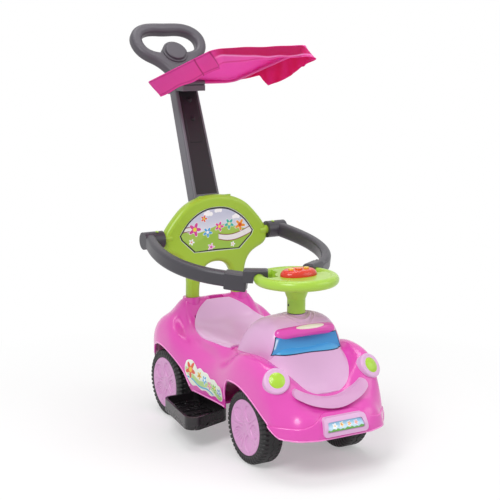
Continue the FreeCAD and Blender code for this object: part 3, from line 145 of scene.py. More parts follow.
# Injection-moulded polypropylene, polished tool: pale lilac pinks and limes with a soft gloss
palePink = mouldedPlastic("polypropylenePalePink", "#E3B5DD", "#DDABD5", 0.26)
seatPink = mouldedPlastic("polypropyleneSeatPink", "#ECC0E6", "#E5B5DF", 0.24)
# painted shade: the bumper bar is the pale pink made darker, for the shade on its downward face
barPinkShaded = mouldedPlastic("polypropyleneBarPinkShaded", "#DAA2CE", "#D39AC7", 0.3)
hubPink = mouldedPlastic("polypropyleneHubPink", "#DDA2D2", "#D69ACB", 0.36)
limePlastic = mouldedPlastic("polypropyleneLime", "#A9CC38", "#A0C430", 0.32)
wheelLime = mouldedPlastic("polypropyleneYellowLime", "#ABD347", "#A3CB3F", 0.28)
# Polypropylene with a spark-eroded grain, from mid grey to charcoal
greyPlastic = mouldedPlastic("polypropyleneDarkGrey", "#6A686F", "#615F66", 0.38, grainMm=0.9, specular=0.4)
handlePlastic = mouldedPlastic("polypropyleneHandleGrey", "#56535A", "#4C4950", 0.42, grainMm=0.9, specular=0.35)
armPlastic = mouldedPlastic("polypropyleneArmGrey", "#46444A", "#3E3C42", 0.36, grainMm=0.9, specular=0.4)
polePlastic = mouldedPlastic("polypropyleneCharcoal", "#241C22", "#1E171D", 0.5, grainMm=0.9, specular=0.3)
# Vinyl sleeve drawn over the canopy's wire, the colour of the cloth
sleevePink = mouldedPlastic("vinylSleevePink", "#EE50AC", "#E848A4", 0.45, grainMm=0.8)
# Blow-moulded polyethylene tyre, grained and nearly matt
tyrePlastic = mouldedPlastic("polyethyleneTyreBlack", "#161517", "#100F11", 0.5, grainMm=1.2)
# ABS, polished tool: shell and buttons of the sound unit
redPlastic = mouldedPlastic("absRed", "#E23A22", "#D8301C", 0.2)
yellowPlastic = mouldedPlastic("absYellow", "#F6D63A", "#F0CC2E", 0.22)
orangePlastic = mouldedPlastic("absOrange", "#F07A28", "#E87020", 0.22)
# Acrylic lens with a pebbled face
lensPlastic = mouldedPlastic("acrylicLime", "#B2DC3C", "#A6D030", 0.16, peelMm=3.2, peelDepthMm=0.5, ior=1.49)
# Inside the steering wheel: glass epoxy board, cells in printed steel, pressed paper cone
boardResin = mouldedPlastic("glassEpoxyGreen", "#2A6E3E", "#246438", 0.4)
cellCase = mouldedPlastic("printedSteelCase", "#3A3A40", "#303036", 0.3)
speakerPaper = mouldedPlastic("pressedPaperBlack", "#1C1C1E", "#161618", 0.7, grainMm=0.8)
# ABS badge, cream
creamPlastic = mouldedPlastic("absCream", "#EFE6D6", "#E8DDCB", 0.24)


def platedSteel():
    # Zinc-plated steel, drawn bar: fine lines along the bar and a bright, slightly blurred reflection
    material, tree, shader, where = newMaterial("zincPlatedSteel")
    along = add(tree, "ShaderNodeMapping", {"Vector": where, "Scale": (1.0, 0.05, 1.0)}).outputs[0]
    feed(tree, shader, {"Base Color": linear("#C4C6CA"), "Metallic": 1.0,
                        "Roughness": ranged(tree, noise(tree, along, 0.8, 2.0), 0.22, 0.38)})
    return material


def trayBlack():
    # Polypropylene tray, glossy rim; its floor (below 54 mm) carries an etched anti-slip relief of 14 mm patches
    material, tree, shader, where = newMaterial("polypropyleneTrayBlack")
    height = add(tree, "ShaderNodeSeparateXYZ", {0: where}).outputs["Z"]
    onFloor = ranged(tree, height, 1.0, 0.0, 0.0535, 0.0545)
    patches = add(tree, "ShaderNodeTexVoronoi", {"Vector": where, "Scale": perMetre(14)}, feature="DISTANCE_TO_EDGE")
    rise = ranged(tree, patches.outputs["Distance"], 0.0, 1.0, 0.05, 0.12)
    cloud = noise(tree, where, 40, 3.0)
    feed(tree, shader, {"Base Color": mixed(tree, cloud, linear("#171416"), linear("#262226")),
                        "Roughness": ranged(tree, cloud, 0.22, 0.34),
                        "Normal": bumped(tree, times(tree, rise, onFloor), 1.0, 1.2)})
    return material


def printedVinyl(name, roughness):
    # Printed vinyl under a clear film: the print is the piece's own colour attribute, the film gives an even gloss
    material, tree, shader, where = newMaterial(name)
    film = noise(tree, where, 6, 1.0)
    feed(tree, shader, {"Base Color": add(tree, "ShaderNodeAttribute", attribute_name="print").outputs["Color"],
                        "Roughness": ranged(tree, film, roughness * 0.85, roughness * 1.15),
                        "Normal": bumped(tree, film, 0.5, 0.04)})
    return material


def canopyCloth(name, attribute):
    # Thin polyester pongee, woven and dyed: plain weave, its 0.2 mm threads drawn at 1.4 mm so that they show. Light
    # that falls on one side scatters through the 0.8 mm sheet and lifts the other
    material, tree, shader, across = newMaterial(name, "UV")
    # the colour attribute holds the cloth's dye together with painted shade and painted highlight
    dyeAndPaintedLight = add(tree, "ShaderNodeAttribute", attribute_name=attribute).outputs["Color"]
    threads = {"Vector": across, "Scale": perMetre(1.4) / 6.283}
    warp, weft = (add(tree, "ShaderNodeTexWave", threads, bands_direction=way).outputs["Fac"] for way in "XY")
    weave = times(tree, warp, weft)
    crumple = bumped(tree, noise(tree, across, 38, 3.0), 0.7, 3)
    feed(tree, shader, {
        "Base Color": mixed(tree, 1.0, dyeAndPaintedLight, ranged(tree, weave, 0.93, 1.0), blend_type="MULTIPLY"),
        "Normal": bumped(tree, weave, 0.35, 0.2, crumple), "Roughness": 0.7, "Specular IOR Level": 0.25,
        "Subsurface Weight": 0.9, "Subsurface Radius": (1.0, 0.5, 0.8), "Subsurface Scale": 0.003})
    return material


steel = platedSteel()
trayPlastic = trayBlack()

finishes = {
    "body_shell": bodyPink, "underbody": bodyPink, "visor_bar": bodyPink, "front_cowl": palePink,
    "seat_lid": seatPink, "bumper_bar": barPinkShaded, "plate_frame": palePink, "steering_bush": greyPlastic,
    "backrest": limePlastic, "push_pole": greyPlastic, "push_handle": handlePlastic, "handle_cap": handlePlastic,
    "canopy_bracket": greyPlastic, "canopy_frame": sleevePink, "steering_rod": steel, "steering_wheel": wheelLime,
    "sound_housing": redPlastic, "button_left": yellowPlastic, "button_middle": orangePlastic,
    "button_right": yellowPlastic, "battery_door": wheelLime, "battery_cells": cellCase, "circuit_board": boardResin,
    "speaker": speakerPaper, "seat_hinge_pin": steel, "rear_axle": steel, "axle_spacers": greyPlastic,
    "rear_push_nuts": steel, "king_pins": steel, "king_pin_nuts": steel, "tie_rod": steel, "tray_screws": steel,
    "number_plate": palePink, "canopy_cloth": bodyPink,
}
for side in sides:
    finishes.update({
        "headlight_bezel_" + side: palePink, "headlight_lens_" + side: lensPlastic, "foot_tray_" + side: trayPlastic,
        "guard_arm_" + side: armPlastic, "steering_knuckle_" + side: greyPlastic, "stub_push_nut_" + side: steel,
        "front_wheel_" + side: tyrePlastic, "rear_wheel_" + side: tyrePlastic,
        "front_hubcap_" + side: hubPink, "rear_hubcap_" + side: hubPink})
for nodeName, node in cadNodes.items():
    node.data.materials.clear()
    node.data.materials.append(finishes[nodeName])
print("finishes laid on", len(cadNodes), "CAD nodes")


# Camera at the photograph's angle
view = {"place": (2398, -1294, 871), "azimuth": 59.94, "elevation": 10.53, "lens": 88.85}
camera = bpy.data.objects.new("camera", bpy.data.cameras.new("camera"))
camera.data.lens = view["lens"]
camera.data.sensor_width = 36
camera.location = placed(view["place"])
camera.rotation_euler = (math.radians(90 - view["elevation"]), 0, math.radians(view["azimuth"]))
scene.collection.objects.link(camera)
scene.camera = camera


def unit(vectors):
    return vectors / np.maximum(np.linalg.norm(vectors, axis=-1, keepdims=True), 1e-12)


def gridPiece(name, points, body, materials, closeRows=False, closeColumns=True, caps=(False, False),
              facing=None, uv=None, colours=None):
    # Rows by columns of points in metres become quads. A closed way joins its last line to its first, and a cap
    # closes an end row with a fan round its middle. Faces turn outwards: by the volume of a closed piece, or
    # towards facing for an open sheet.
    rows, columns = points.shape[:2]
    index = np.arange(rows * columns).reshape(rows, columns)
    ring = np.concatenate([index, index[:, :1]], 1) if closeColumns else index
    lattice = np.concatenate([ring, ring[:1]], 0) if closeRows else ring
    quads = np.stack([lattice[:-1, :-1], lattice[:-1, 1:], lattice[1:, 1:], lattice[1:, :-1]], -1).reshape(-1, 4)
    corners = points.reshape(-1, 3)
    fans = np.empty((0, 3), int)
    for capped, row, order in ((caps[0], 0, (1, 0)), (caps[1], -1, (0, 1))):
        if capped:
            edge = (ring[row][:-1], ring[row][1:])
            middle = np.full(len(edge[0]), len(corners))
            corners = np.vstack([corners, points[row].mean(0)])
            fans = np.vstack([fans, np.stack([edge[order[0]], edge[order[1]], middle], 1)])
    triangles = np.vstack([quads[:, :3], quads[:, [0, 2, 3]], fans])
    a, b, c = (corners[triangles[:, k]] for k in range(3))
    across = np.cross(b - a, c - a)
    outward = (across * (a - corners.mean(0))).sum() if facing is None else (across.sum(0) * np.asarray(facing)).sum()
    if outward < 0:
        quads, fans = quads[:, ::-1], fans[:, ::-1]
    mesh = bpy.data.meshes.new(name)
    mesh.from_pydata(corners.tolist(), [], quads.tolist() + fans.tolist())
    mesh.shade_smooth()
    if uv is not None:
        flat = np.vstack([uv.reshape(-1, 2)] + [uv[row].mean(0) for capped, row in zip(caps, (0, -1)) if capped])
        loopCorner = np.empty(len(mesh.loops), int)
        mesh.loops.foreach_get("vertex_index", loopCorner)
        mesh.uv_layers.new(name="UVMap").data.foreach_set("uv", flat[loopCorner].ravel())
    for label, colour in (colours or {}).items():
        inks = np.vstack([colour.reshape(-1, 3)] + [colour[row].mean(0)[None] for capped, row in zip(caps, (0, -1))
                                                    if capped])
        layer = mesh.color_attributes.new(label, "FLOAT_COLOR", "POINT")
        layer.data.foreach_set("color", np.hstack([inks, np.ones((len(inks), 1))]).ravel())
    piece = bpy.data.objects.new(name, mesh)
    scene.collection.objects.link(piece)
    for material in materials:
        mesh.materials.append(material)
    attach(piece, body)
    return piece


def laidOn(node, points, axis=None):
    # Casts a grid of points on to a CAD node and reads back where they land: along an axis, from its far side
    # towards the middle, or along the grid's own normals where no axis is named
    rows, columns = points.shape[:2]
    index = np.arange(rows * columns).reshape(rows, columns)
    quads = np.stack([index[:-1, :-1], index[:-1, 1:], index[1:, 1:], index[1:, :-1]], -1).reshape(-1, 4)
    mesh = bpy.data.meshes.new("scratch")
    mesh.from_pydata(points.reshape(-1, 3).tolist(), [], quads.tolist())
    holder = bpy.data.objects.new("scratch", mesh)
    scene.collection.objects.link(holder)
    wrap = holder.modifiers.new("lay", "SHRINKWRAP")
    wrap.target = cadNodes[node]
    wrap.wrap_method = "PROJECT"
    if axis:
        setattr(wrap, "use_project_" + axis[-1], True)
    wrap.use_positive_direction = not axis or axis[0] == "+"
    wrap.use_negative_direction = not axis or axis[0] == "-"
    laid = np.empty(rows * columns * 3)
    holder.evaluated_get(bpy.context.evaluated_depsgraph_get()).data.vertices.foreach_get("co", laid)
    bpy.data.objects.remove(holder)
    bpy.data.meshes.remove(mesh)
    return laid.reshape(rows, columns, 3)


def gridNormals(points, facing):
    # square to both grid directions, turned towards facing
    across = unit(np.cross(np.gradient(points, axis=0), np.gradient(points, axis=1)))
    return across * np.where((across * np.asarray(facing, float)).sum(-1, keepdims=True) < 0, -1, 1)


def smoothLine(points, count):
    # a curve through the points: cubic pieces whose slope at a point is half the step between its neighbours
    points = np.asarray(points, float)
    slope = np.gradient(points, axis=0)
    where = np.linspace(0, len(points) - 1, count)
    start = np.minimum(where.astype(int), len(points) - 2)
    t = (where - start)[:, None]
    return ((2 * t ** 3 - 3 * t ** 2 + 1) * points[start] + (t ** 3 - 2 * t ** 2 + t) * slope[start]
            + (3 * t ** 2 - 2 * t ** 3) * points[start + 1] + (t ** 3 - t ** 2) * slope[start + 1])


def evenly(points, count, closed=False):
    # the same line with its points evenly spaced by length
    line = np.vstack([points, points[:1]]) if closed else points
    run = np.concatenate([[0], np.cumsum(np.linalg.norm(np.diff(line, axis=0), axis=1))])
    where = np.linspace(0, run[-1], count, endpoint=not closed)
    return np.stack([np.interp(where, run, line[:, k]) for k in range(line.shape[1])], 1), where


def step(value, low, high):
    # 0 below low, 1 above high, eased between
    t = np.clip((value - low) / (high - low), 0, 1)
    return t * t * (3 - 2 * t)


def ink(colour):
    return np.array(linear(colour)[:3])


def over(base, colour, cover):
    # lays a colour on a print where cover is 1
    return base + (ink(colour) - base) * np.clip(cover, 0, 1)[..., None]


# Canopy: one cloth over the wire frame. Rings run from the middle of the roof to its rounded edge, then down a skirt
# whose depth and inward lean change from side to side
canopy = {
    "hinge": (-95, 733), "tilt": 14.3, "rear": -14, "front": 322, "half": 115, "rearRound": 30, "frontRound": 24,
    "edge": 4.8, "crown": 6.5, "thickness": 0.0008, "flat": (0.33, 0.4),
    "columns": 512, "roofRings": 26, "skirtRings": 26,
    # share of the crown, and lift of the left side, from the rear of the roof (0) to its front (1)
    "crownAlong": ((0, 0.2, 0.4, 0.6, 0.8, 1), (0.75, 1, 0.8, 1.05, 0.85, 0.6)),
    "liftAlong": ((0, 0.4, 0.65, 0.88, 1), (0, 1, 5, 14, 6)),
    # depth of the skirt: left side by s, front and rear by y; the gap behind leaves room for the pole
    "leftDrop": ((-14, 0, 104, 137, 215, 292, 322), (1, 1.5, 12.5, 43, 48, 45, 24)),
    "frontDrop": ((-100, 0, 60, 105), (31, 25, 23, 22)),
    "rearDrop": ((-85, -50, 50, 90), (26, 9, 5, 1.5)), "rearGap": (36, 2.0), "rightDrop": 35,
    "lean": {"right": 24, "left": 2, "ahead": 9, "behindShare": 0.6, "beak": 23},
    "darts": ((239, 233), (306, 318)), "dartProud": 3.0, "dartWidth": 5, "welt": 0.9,
    # where the crimson band of painted shade on the front skirt ends, as a share of its depth, by y
    "band": ((-100, 0, 60, 105), (0.4, 0.7, 0.85, 0.7)),
}


def canopyPlaced(s, y, h):
    # along the tilted roof from its hinge, across, and square to it
    turn = math.radians(canopy["tilt"])
    x = canopy["hinge"][0] + s * math.cos(turn) - h * math.sin(turn)
    z = canopy["hinge"][1] + s * math.sin(turn) + h * math.cos(turn)
    return placed(np.stack([x, y, z], -1))


def canopySheet():
    c = canopy
    quarter = np.radians(np.linspace(0, 90, 24))
    corners = [(c["front"], 1, c["frontRound"], 0), (c["rear"], 1, c["rearRound"], 90),
               (c["rear"], -1, c["rearRound"], 180), (c["front"], -1, c["frontRound"], 270)]
    line = np.concatenate([np.stack([
        end + r * (-1 if end > 0 else 1) + r * np.cos(quarter + math.radians(turn)),
        way * (c["half"] - r) + r * np.sin(quarter + math.radians(turn))], 1) for end, way, r, turn in corners])
    line, run = evenly(line, c["columns"], closed=True)
    tangent = unit(np.roll(line, -1, 0) - np.roll(line, 1, 0))
    out = np.stack([tangent[:, 1], -tangent[:, 0]], 1)
    middle = np.array([(c["rear"] + c["front"]) / 2, 0])

    def roofHeight(s, y):
        # a low crown that rises and falls along the roof, slack ripples, and a front left corner that lifts
        u, w = (s - c["rear"]) / (c["front"] - c["rear"]), y / c["half"]
        crown = np.interp(u, *c["crownAlong"]) * c["crown"]
        slack = 0.8 * np.sin(15 * u + 2) + 0.5 * np.sin(9 * w + 5 * u)
        lift = np.interp(u, *c["liftAlong"]) * np.clip(w, 0, 1) ** 1.5
        return c["edge"] + (crown + slack) * (1 - w ** 2) + lift

    s, y = line[:, 0], line[:, 1]
    right, left = np.clip(-out[:, 1], 0, 1) ** 2, np.clip(out[:, 1], 0, 1) ** 2
    ahead, behind = np.clip(out[:, 0], 0, 1) ** 2, np.clip(-out[:, 0], 0, 1) ** 2
    corner = np.clip(4 * ahead * left, 0, 1)
    share = np.linspace(0.04, 1, c["roofRings"])[:, None]
    roof = middle + (line - middle) * share[..., None]
    roofH = roofHeight(roof[..., 0], roof[..., 1]) - 1.2 * share ** 50 - 5 * corner * share ** 16

    leftDrop = np.interp(s, *c["leftDrop"])
    frontDrop = np.interp(y, *c["frontDrop"]) + 1.2 * np.sin(y / 11 + np.sin(y / 29))
    rearDrop = np.where(np.abs(y) < c["rearGap"][0], c["rearGap"][1], np.interp(y, *c["rearDrop"]))
    rightDrop = c["rightDrop"] + 1.5 * np.sin(s / 23)
    drop = right * rightDrop + left * leftDrop + ahead * frontDrop + behind * rearDrop
    lean = c["lean"]
    tuck = right * lean["right"] + left * lean["left"] + ahead * lean["ahead"] + behind * drop * lean["behindShare"]
    tuck = tuck - corner ** 0.7 * lean["beak"]
    v = np.linspace(0, 1, c["skirtRings"] + 1)[1:, None]
    # two trains of folds, about 90 and 40 mm long, each bent by a slower wave
    folds = 1.1 * np.sin(s / 14 + 2.2 * v + 1.3 * np.sin(s / 31)) + 0.5 * np.sin(s / 6.7 + 1.7 * np.sin(s / 19) - v)
    wrinkle = (left * folds + ahead * 1.1 * np.sin(y / 9 + np.sin(y / 23)) + right * 0.7 * np.sin(s / 15)) * v
    for top, low in c["darts"]:
        fromRidge = (s + (top - low) * v - top) / c["dartWidth"]
        wrinkle = wrinkle + right * c["dartProud"] * np.exp(-fromRidge ** 2) * v * (1.2 - 0.5 * v)
    welt = c["welt"] * np.exp(-((1 - v) / 0.07) ** 2) * np.clip(drop / 12, 0, 1)
    inward = tuck * v ** 1.15 - wrinkle - welt
    skirt = line - out * inward[..., None]
    skirtH = roofH[-1] - drop * v
    plan = np.concatenate([roof, skirt])
    heights = np.concatenate([roofH, skirtH])
    points = canopyPlaced(plan[..., 0], plan[..., 1], heights)

    # colours: outside mid pink with seams darker, and on the front skirt a crimson upper band of painted shade over a
    # pale painted highlight; inside a brighter pink, painted light through the cloth, with a crimson left flap of
    # painted shade
    fromHem = (1 - v) * drop
    seam = np.exp(-((fromHem - 4) / 1.0) ** 2) + np.exp(-((v * drop - 3) / 1.0) ** 2)
    dartLine = sum(np.exp(-((s + (top - low) * v - top + 4) / 2.9) ** 2) for top, low in c["darts"]) * right
    band = np.interp(y, *c["band"])
    outer = np.ones((len(plan), c["columns"], 3)) * ink("#E0489E")
    low = outer[c["roofRings"]:]
    # painted shade: the crimson upper band of the front skirt; painted highlight: the pale line under it; then a
    # lighter pink, and a darker line just above the hem
    low = over(low, "#C01A62", ahead * (1 - step(v, band - 0.06, band + 0.02)))
    low = over(low, "#F7A6D6", ahead * np.exp(-((v - band - 0.05) / 0.05) ** 2) * 0.9)
    low = over(low, "#E85CAE", ahead * step(v, band + 0.06, band + 0.12))
    low = over(low, "#C8246E", ahead * np.exp(-((v - 0.92) / 0.04) ** 2) * 0.7)
    low = over(low, "#B02874", right * np.clip(seam, 0, 1) * 0.8)
    low = over(low, "#8C1650", np.clip(dartLine, 0, 1) * 0.95)
    outer[c["roofRings"]:] = low
    # painted light: the inside is a brighter pink than the outside, standing in for light that comes through the
    # cloth; painted shade: the crimson left flap, varied with its folds
    inner = np.ones((len(plan), c["columns"], 3)) * ink("#F650B4")
    flap = inner[c["roofRings"]:]
    flap = over(flap, "#E0246F", left * np.clip(0.86 + 0.1 * folds, 0, 1))
    inner[c["roofRings"]:] = flap
    steps = np.linalg.norm(np.diff(points, axis=0), axis=2)
    down = np.concatenate([np.zeros((1, c["columns"])), np.cumsum(steps, 0)])
    uv = np.stack([np.broadcast_to(run * 0.001, down.shape), down], -1)

    cloths = [canopyCloth("polyesterPongee" + face.capitalize(), face) for face in ("outside", "inside")]
    piece = gridPiece("canopySheet", points, "canopy", cloths,
                      caps=(True, False), facing=(0, 0, 1), uv=uv, colours={"outside": outer, "inside": inner})
    cloth = piece.modifiers.new("cloth", "SOLIDIFY")
    cloth.thickness, cloth.offset, cloth.material_offset = c["thickness"], -1.0, 1
    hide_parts("canopy_cloth")
    area = np.linalg.norm(np.cross(np.diff(points, axis=0)[:, :-1], np.diff(points, axis=1)[:-1]), axis=2).sum()
    return area


print("canopy sheet of", round(canopySheet(), 4), "square metres")


# Tyres: a closed profile turned about the axle; lugs stand on both shoulders and a zigzag groove runs round the tread
tyre = {"radius": 75, "face": 127, "width": 48, "shoulder": 9, "lugs": 46, "perLug": 11, "lugDepth": 2.8,
        "groove": 1.6, "zigzag": 3}


def tyreProfile():
    # radius and depth from the outer face: hubcap seat, side wall, shoulder, tread, inner side and hub, back to start
    arc = np.radians(np.linspace(0, 90, 12))
    bend, inner = tyre["shoulder"], tyre["width"] - tyre["shoulder"]
    flank = tyre["radius"] - bend
    outerShoulder = np.stack([flank + bend * np.sin(arc), bend - bend * np.cos(arc)], 1)
    innerShoulder = np.stack([flank + bend * np.cos(arc), inner + bend * np.sin(arc)], 1)
    across = np.linspace(bend, inner, 27)[1:-1]
    tread = np.stack([np.full(len(across), float(tyre["radius"])), across], 1)
    seat = np.array([(56.8, 6), (56.8, 1.2), (57.6, 0.3), (58.6, 0), (60.5, 0), (63, 0)])
    hub = np.array([(60, 48), (52, 48), (52, 18), (24, 18), (24, 48), (5.05, 48), (5.05, 11), (11.5, 11), (11.5, 6)])
    return np.concatenate([seat, outerShoulder, tread, innerShoulder, hub])


def wheelTyre(axleX, way, body, node):
    t = tyre
    profile = tyreProfile()
    r, depth = profile[:, :1], profile[:, 1:]
    slope = np.gradient(profile, axis=0)
    normal = unit(np.stack([slope[:, 1], -slope[:, 0]], 1))
    theta = np.linspace(0, 2 * np.pi, t["lugs"] * t["perLug"], endpoint=False)[None]
    middle = t["width"] / 2
    shift = np.where(depth > middle, 0.5, 0.0) * 2 * np.pi
    gap = step(np.cos(t["lugs"] * theta + shift), 0.25, 0.75)
    shoulder = np.maximum(1 - step(depth, 11, 15), step(depth, 33, 37)) * step(r, 61.5, 66)
    zigzag = middle + t["zigzag"] * (np.abs(((theta * t["lugs"] / (4 * np.pi)) % 1) * 4 - 2) - 1)
    groove = (1 - step(np.abs(depth - zigzag), 1.0, 2.2)) * (r > t["radius"] - 1)
    cut = t["lugDepth"] * gap * shoulder + t["groove"] * groove * (1 - shoulder)
    rr = r - normal[:, :1] * cut
    dd = depth - normal[:, 1:] * cut
    y = way * (t["face"] - dd)
    points = placed(np.stack([axleX + rr * np.sin(theta), y + 0 * theta, t["radius"] + rr * np.cos(theta)], -1))
    piece = gridPiece(body + "Tyre", points, body, [tyrePlastic], closeRows=True)
    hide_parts(node)


# Hubcaps: a dished disc with five leaf-shaped hollows that hold fan ribs, and a split between each pair of hollows
hub = {"radius": 56.5, "leaves": 5, "leafFrom": 15, "leafTo": 51, "leafHalf": 27, "leafDepth": 2.8, "ribs": 9,
       "ribHeight": 1.3, "crack": 1.6, "thick": 5.95, "columns": 480}


def wheelCap(axleX, way, body, node):
    h = hub
    faceRings = 62
    edge = h["radius"] + np.array([-1.1, -0.4, 0, 0])
    r = np.concatenate([np.linspace(1.2, h["radius"] - 2, faceRings), edge, [40.0, 12.0]])[:, None]
    ring = np.arange(len(r))[:, None]
    theta = np.linspace(0, 2 * np.pi, h["columns"], endpoint=False)[None]
    turn = ((theta * h["leaves"] / (2 * np.pi) + 0.25) % 1 - 0.5) * 2 * np.pi / h["leaves"]
    along = np.clip((r - h["leafFrom"]) / (h["leafTo"] - h["leafFrom"]), 0, 1)
    halfLeaf = np.radians(h["leafHalf"]) * np.sin(np.pi * along ** 0.75) ** 0.65
    leaf = step(halfLeaf * r - np.abs(turn) * r, 0, 2.2) * (r > h["leafFrom"]) * (r < h["leafTo"])
    ribs = np.cos(turn * h["ribs"] * h["leaves"]) * step(along, 0.3, 0.6)
    split = np.pi / h["leaves"] - np.abs(turn)
    crack = (1 - step(split * r, 0.8, 1.9)) * step(r, 12, 16) * (1 - step(r, 46, 50))
    dish = 2.6 * (1 - step(r, 10, 52)) + 0.4
    boss = 1.4 * (1 - step(r, 6.5, 8.5))
    rim = 0.4 * step(r, 52, 53.5)
    depth = dish - boss - rim + leaf * (h["leafDepth"] - ribs * h["ribHeight"] * 0.5) + crack * h["crack"]
    # past the face the edge rolls over, then the back runs flat to the middle
    roll = np.interp(ring, faceRings + np.arange(-1, 3), (0, 0.1, 0.5, 1.2))
    depth = np.where(ring > faceRings + 2, h["thick"], depth * (ring < faceRings) + roll)
    y = way * (tyre["face"] - depth)
    points = placed(np.stack([axleX + r * np.sin(theta), y, tyre["radius"] + r * np.cos(theta)], -1))
    piece = gridPiece(body + "Cap", points, body, [hubPink], caps=(True, True))
    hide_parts(node)


for side, way in sides.items():
    for end, axleX in (("front", wheelbase), ("rear", 0)):
        wheelTyre(axleX, way, "wheel_" + end + "_" + side, end + "_wheel_" + side)
        wheelCap(axleX, way, "wheel_" + end + "_" + side, end + "_hubcap_" + side)
print("tyres and hubcaps turned")


# Brow over the windscreen: an egg-shaped section carried round an arc, drawn in at both ends
brow = {"centreX": 213, "radius": 177, "z": 265.5, "halfAngle": 23.5, "endAngle": 3.6, "thick": 9.5, "tall": 11.5,
        "sag": 0.012}


def browSurface(angle, around, lift=0.0):
    # angle runs along the arc, around turns about the section; both ends close on a half round
    b = brow
    endShare = np.clip((np.abs(angle) - b["halfAngle"] + b["endAngle"]) / b["endAngle"], 0, 1)
    shrink = np.sqrt(np.maximum(1 - endShare ** 2, 0))
    reach = b["radius"] + (b["thick"] * shrink + lift) * np.cos(around)
    z = b["z"] + (b["tall"] * shrink + lift) * np.sin(around) - b["sag"] * angle ** 2
    bend = np.radians(angle)
    return placed(np.stack([b["centreX"] + reach * np.cos(bend), reach * np.sin(bend), z + 0 * reach], -1))


ends = brow["halfAngle"] * np.sin(np.linspace(-np.pi / 2, np.pi / 2, 90))[1:-1, None]
turns = np.linspace(0, 2 * np.pi, 48, endpoint=False)[None]
browPiece = gridPiece("windscreenBrow", browSurface(ends, turns), "body", [bodyPink], caps=(True, True))
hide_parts("visor_bar")
# Blank oval on the brow's upper edge, slightly domed: its place and half sizes are angles along the arc and round it
oval = {"along": (1.5, 10.5), "around": (0.92, 0.52), "lift": 0.15, "dome": 0.7}
ringShare = np.linspace(0.05, 1, 14)[:, None]
ovalTurn = np.linspace(0, 2 * np.pi, 72, endpoint=False)[None]
ovalPoints = browSurface(oval["along"][0] + oval["along"][1] * ringShare * np.cos(ovalTurn),
                         oval["around"][0] + oval["around"][1] * ringShare * np.sin(ovalTurn),
                         oval["lift"] + oval["dome"] * np.sqrt(1.0001 - ringShare ** 2))
gridPiece("browOval", ovalPoints, "body", [creamPlastic], caps=(True, False), facing=(1, 0, 1))
print("brow set")


def printPiece(name, points, material, roughness, facing, paint, closeColumns=True):
    # a printed sheet on the body: a fan of rings, or a plain grid where its columns don't close
    gridPiece(name, points, "body", [printedVinyl(material, roughness)], closeColumns=closeColumns,
              caps=(closeColumns, False), facing=facing, colours={"print": paint})


# Windscreen print: a trapezium laid on the cowl from the front, blue that deepens to the middle of its top
screen = {"low": 221.5, "high": 257.0, "halfLow": 83.5, "halfHigh": 71.0, "skew": 1.5, "ahead": 600, "lift": 0.00025,
          "line": 1.8, "glintAt": 73, "glintLean": 14, "glintWidth": 2.4}
across, up = np.meshgrid(np.linspace(-1, 1, 361), np.linspace(0, 1, 91))
zScreen = screen["low"] + up * (screen["high"] - screen["low"]) - screen["skew"] * across
half = screen["halfLow"] + (screen["halfHigh"] - screen["halfLow"]) * up ** 0.8
laid = laidOn("front_cowl", placed(np.stack([np.full_like(up, screen["ahead"]), across * half, zScreen], -1)), "-x")
laid += gridNormals(laid, (1, 0, 0.4)) * screen["lift"]
fromEdge = np.minimum((1 - np.abs(across)) * half, np.minimum(up, 1 - up) * (screen["high"] - screen["low"]))
paint = np.ones(laid.shape) * ink("#3E9CDA")
paint = over(paint, "#2462AC", step(up, 0.35, 1.0) * (1 - 0.7 * np.abs(across)))
paint = over(paint, "#58B4E8", (1 - step(up, 0.0, 0.5)) * 0.5)
fromGlint = (across * half + screen["glintAt"] - screen["glintLean"] * (up - 0.5)) / screen["glintWidth"]
glint = np.exp(-fromGlint ** 2) * step(up, 0.25, 0.4) * (1 - step(up, 0.8, 0.95))
paint = over(paint, "#D8F0FF", glint * 0.9)
paint = over(paint, "#1B2550", 1 - step(fromEdge, screen["line"] - 0.4, screen["line"] + 0.3))
printPiece("windscreenPrint", laid, "printedVinylScreen", 0.16, (1, 0, 0), paint, closeColumns=False)
print("windscreen printed")


# Pictures: plain garden motifs, drawn as covers from 0 to 1 over a plane of millimetres
def disc(p, q, centre, radius, soft=0.5):
    return 1 - step(np.hypot(p - centre[0], q - centre[1]), radius - soft, radius + soft)


def flower(base, p, q, centre, size, petals, petalInk, heartInk, count=5):
    # petals as a wavy circle: the radius swells and shrinks with the angle
    reach, angle = np.hypot(p - centre[0], q - centre[1]), np.arctan2(q - centre[1], p - centre[0])
    edge = size * (0.72 + 0.28 * np.cos(count * angle + petals))
    base = over(base, "#FFFFFF", 1 - step(reach - edge, 0.4, 1.4))
    base = over(base, petalInk, 1 - step(reach - edge, -0.6, 0.2))
    return over(base, heartInk, disc(p, q, centre, size * 0.3))


def flowers(base, p, q, rows):
    # each row: place across and up, size, turn of the petals, colour of petals and heart
    for across, up, *rest in rows:
        base = flower(base, p, q, (across, up), *rest)
    return base


def fanSheet(outline, middle, rings):
    # rings that shrink the outline towards its middle, closer together near the edge
    share = (1 - np.linspace(0.985, 0, rings) ** 1.6)[:, None, None]
    return middle + (outline[None] - middle) * share


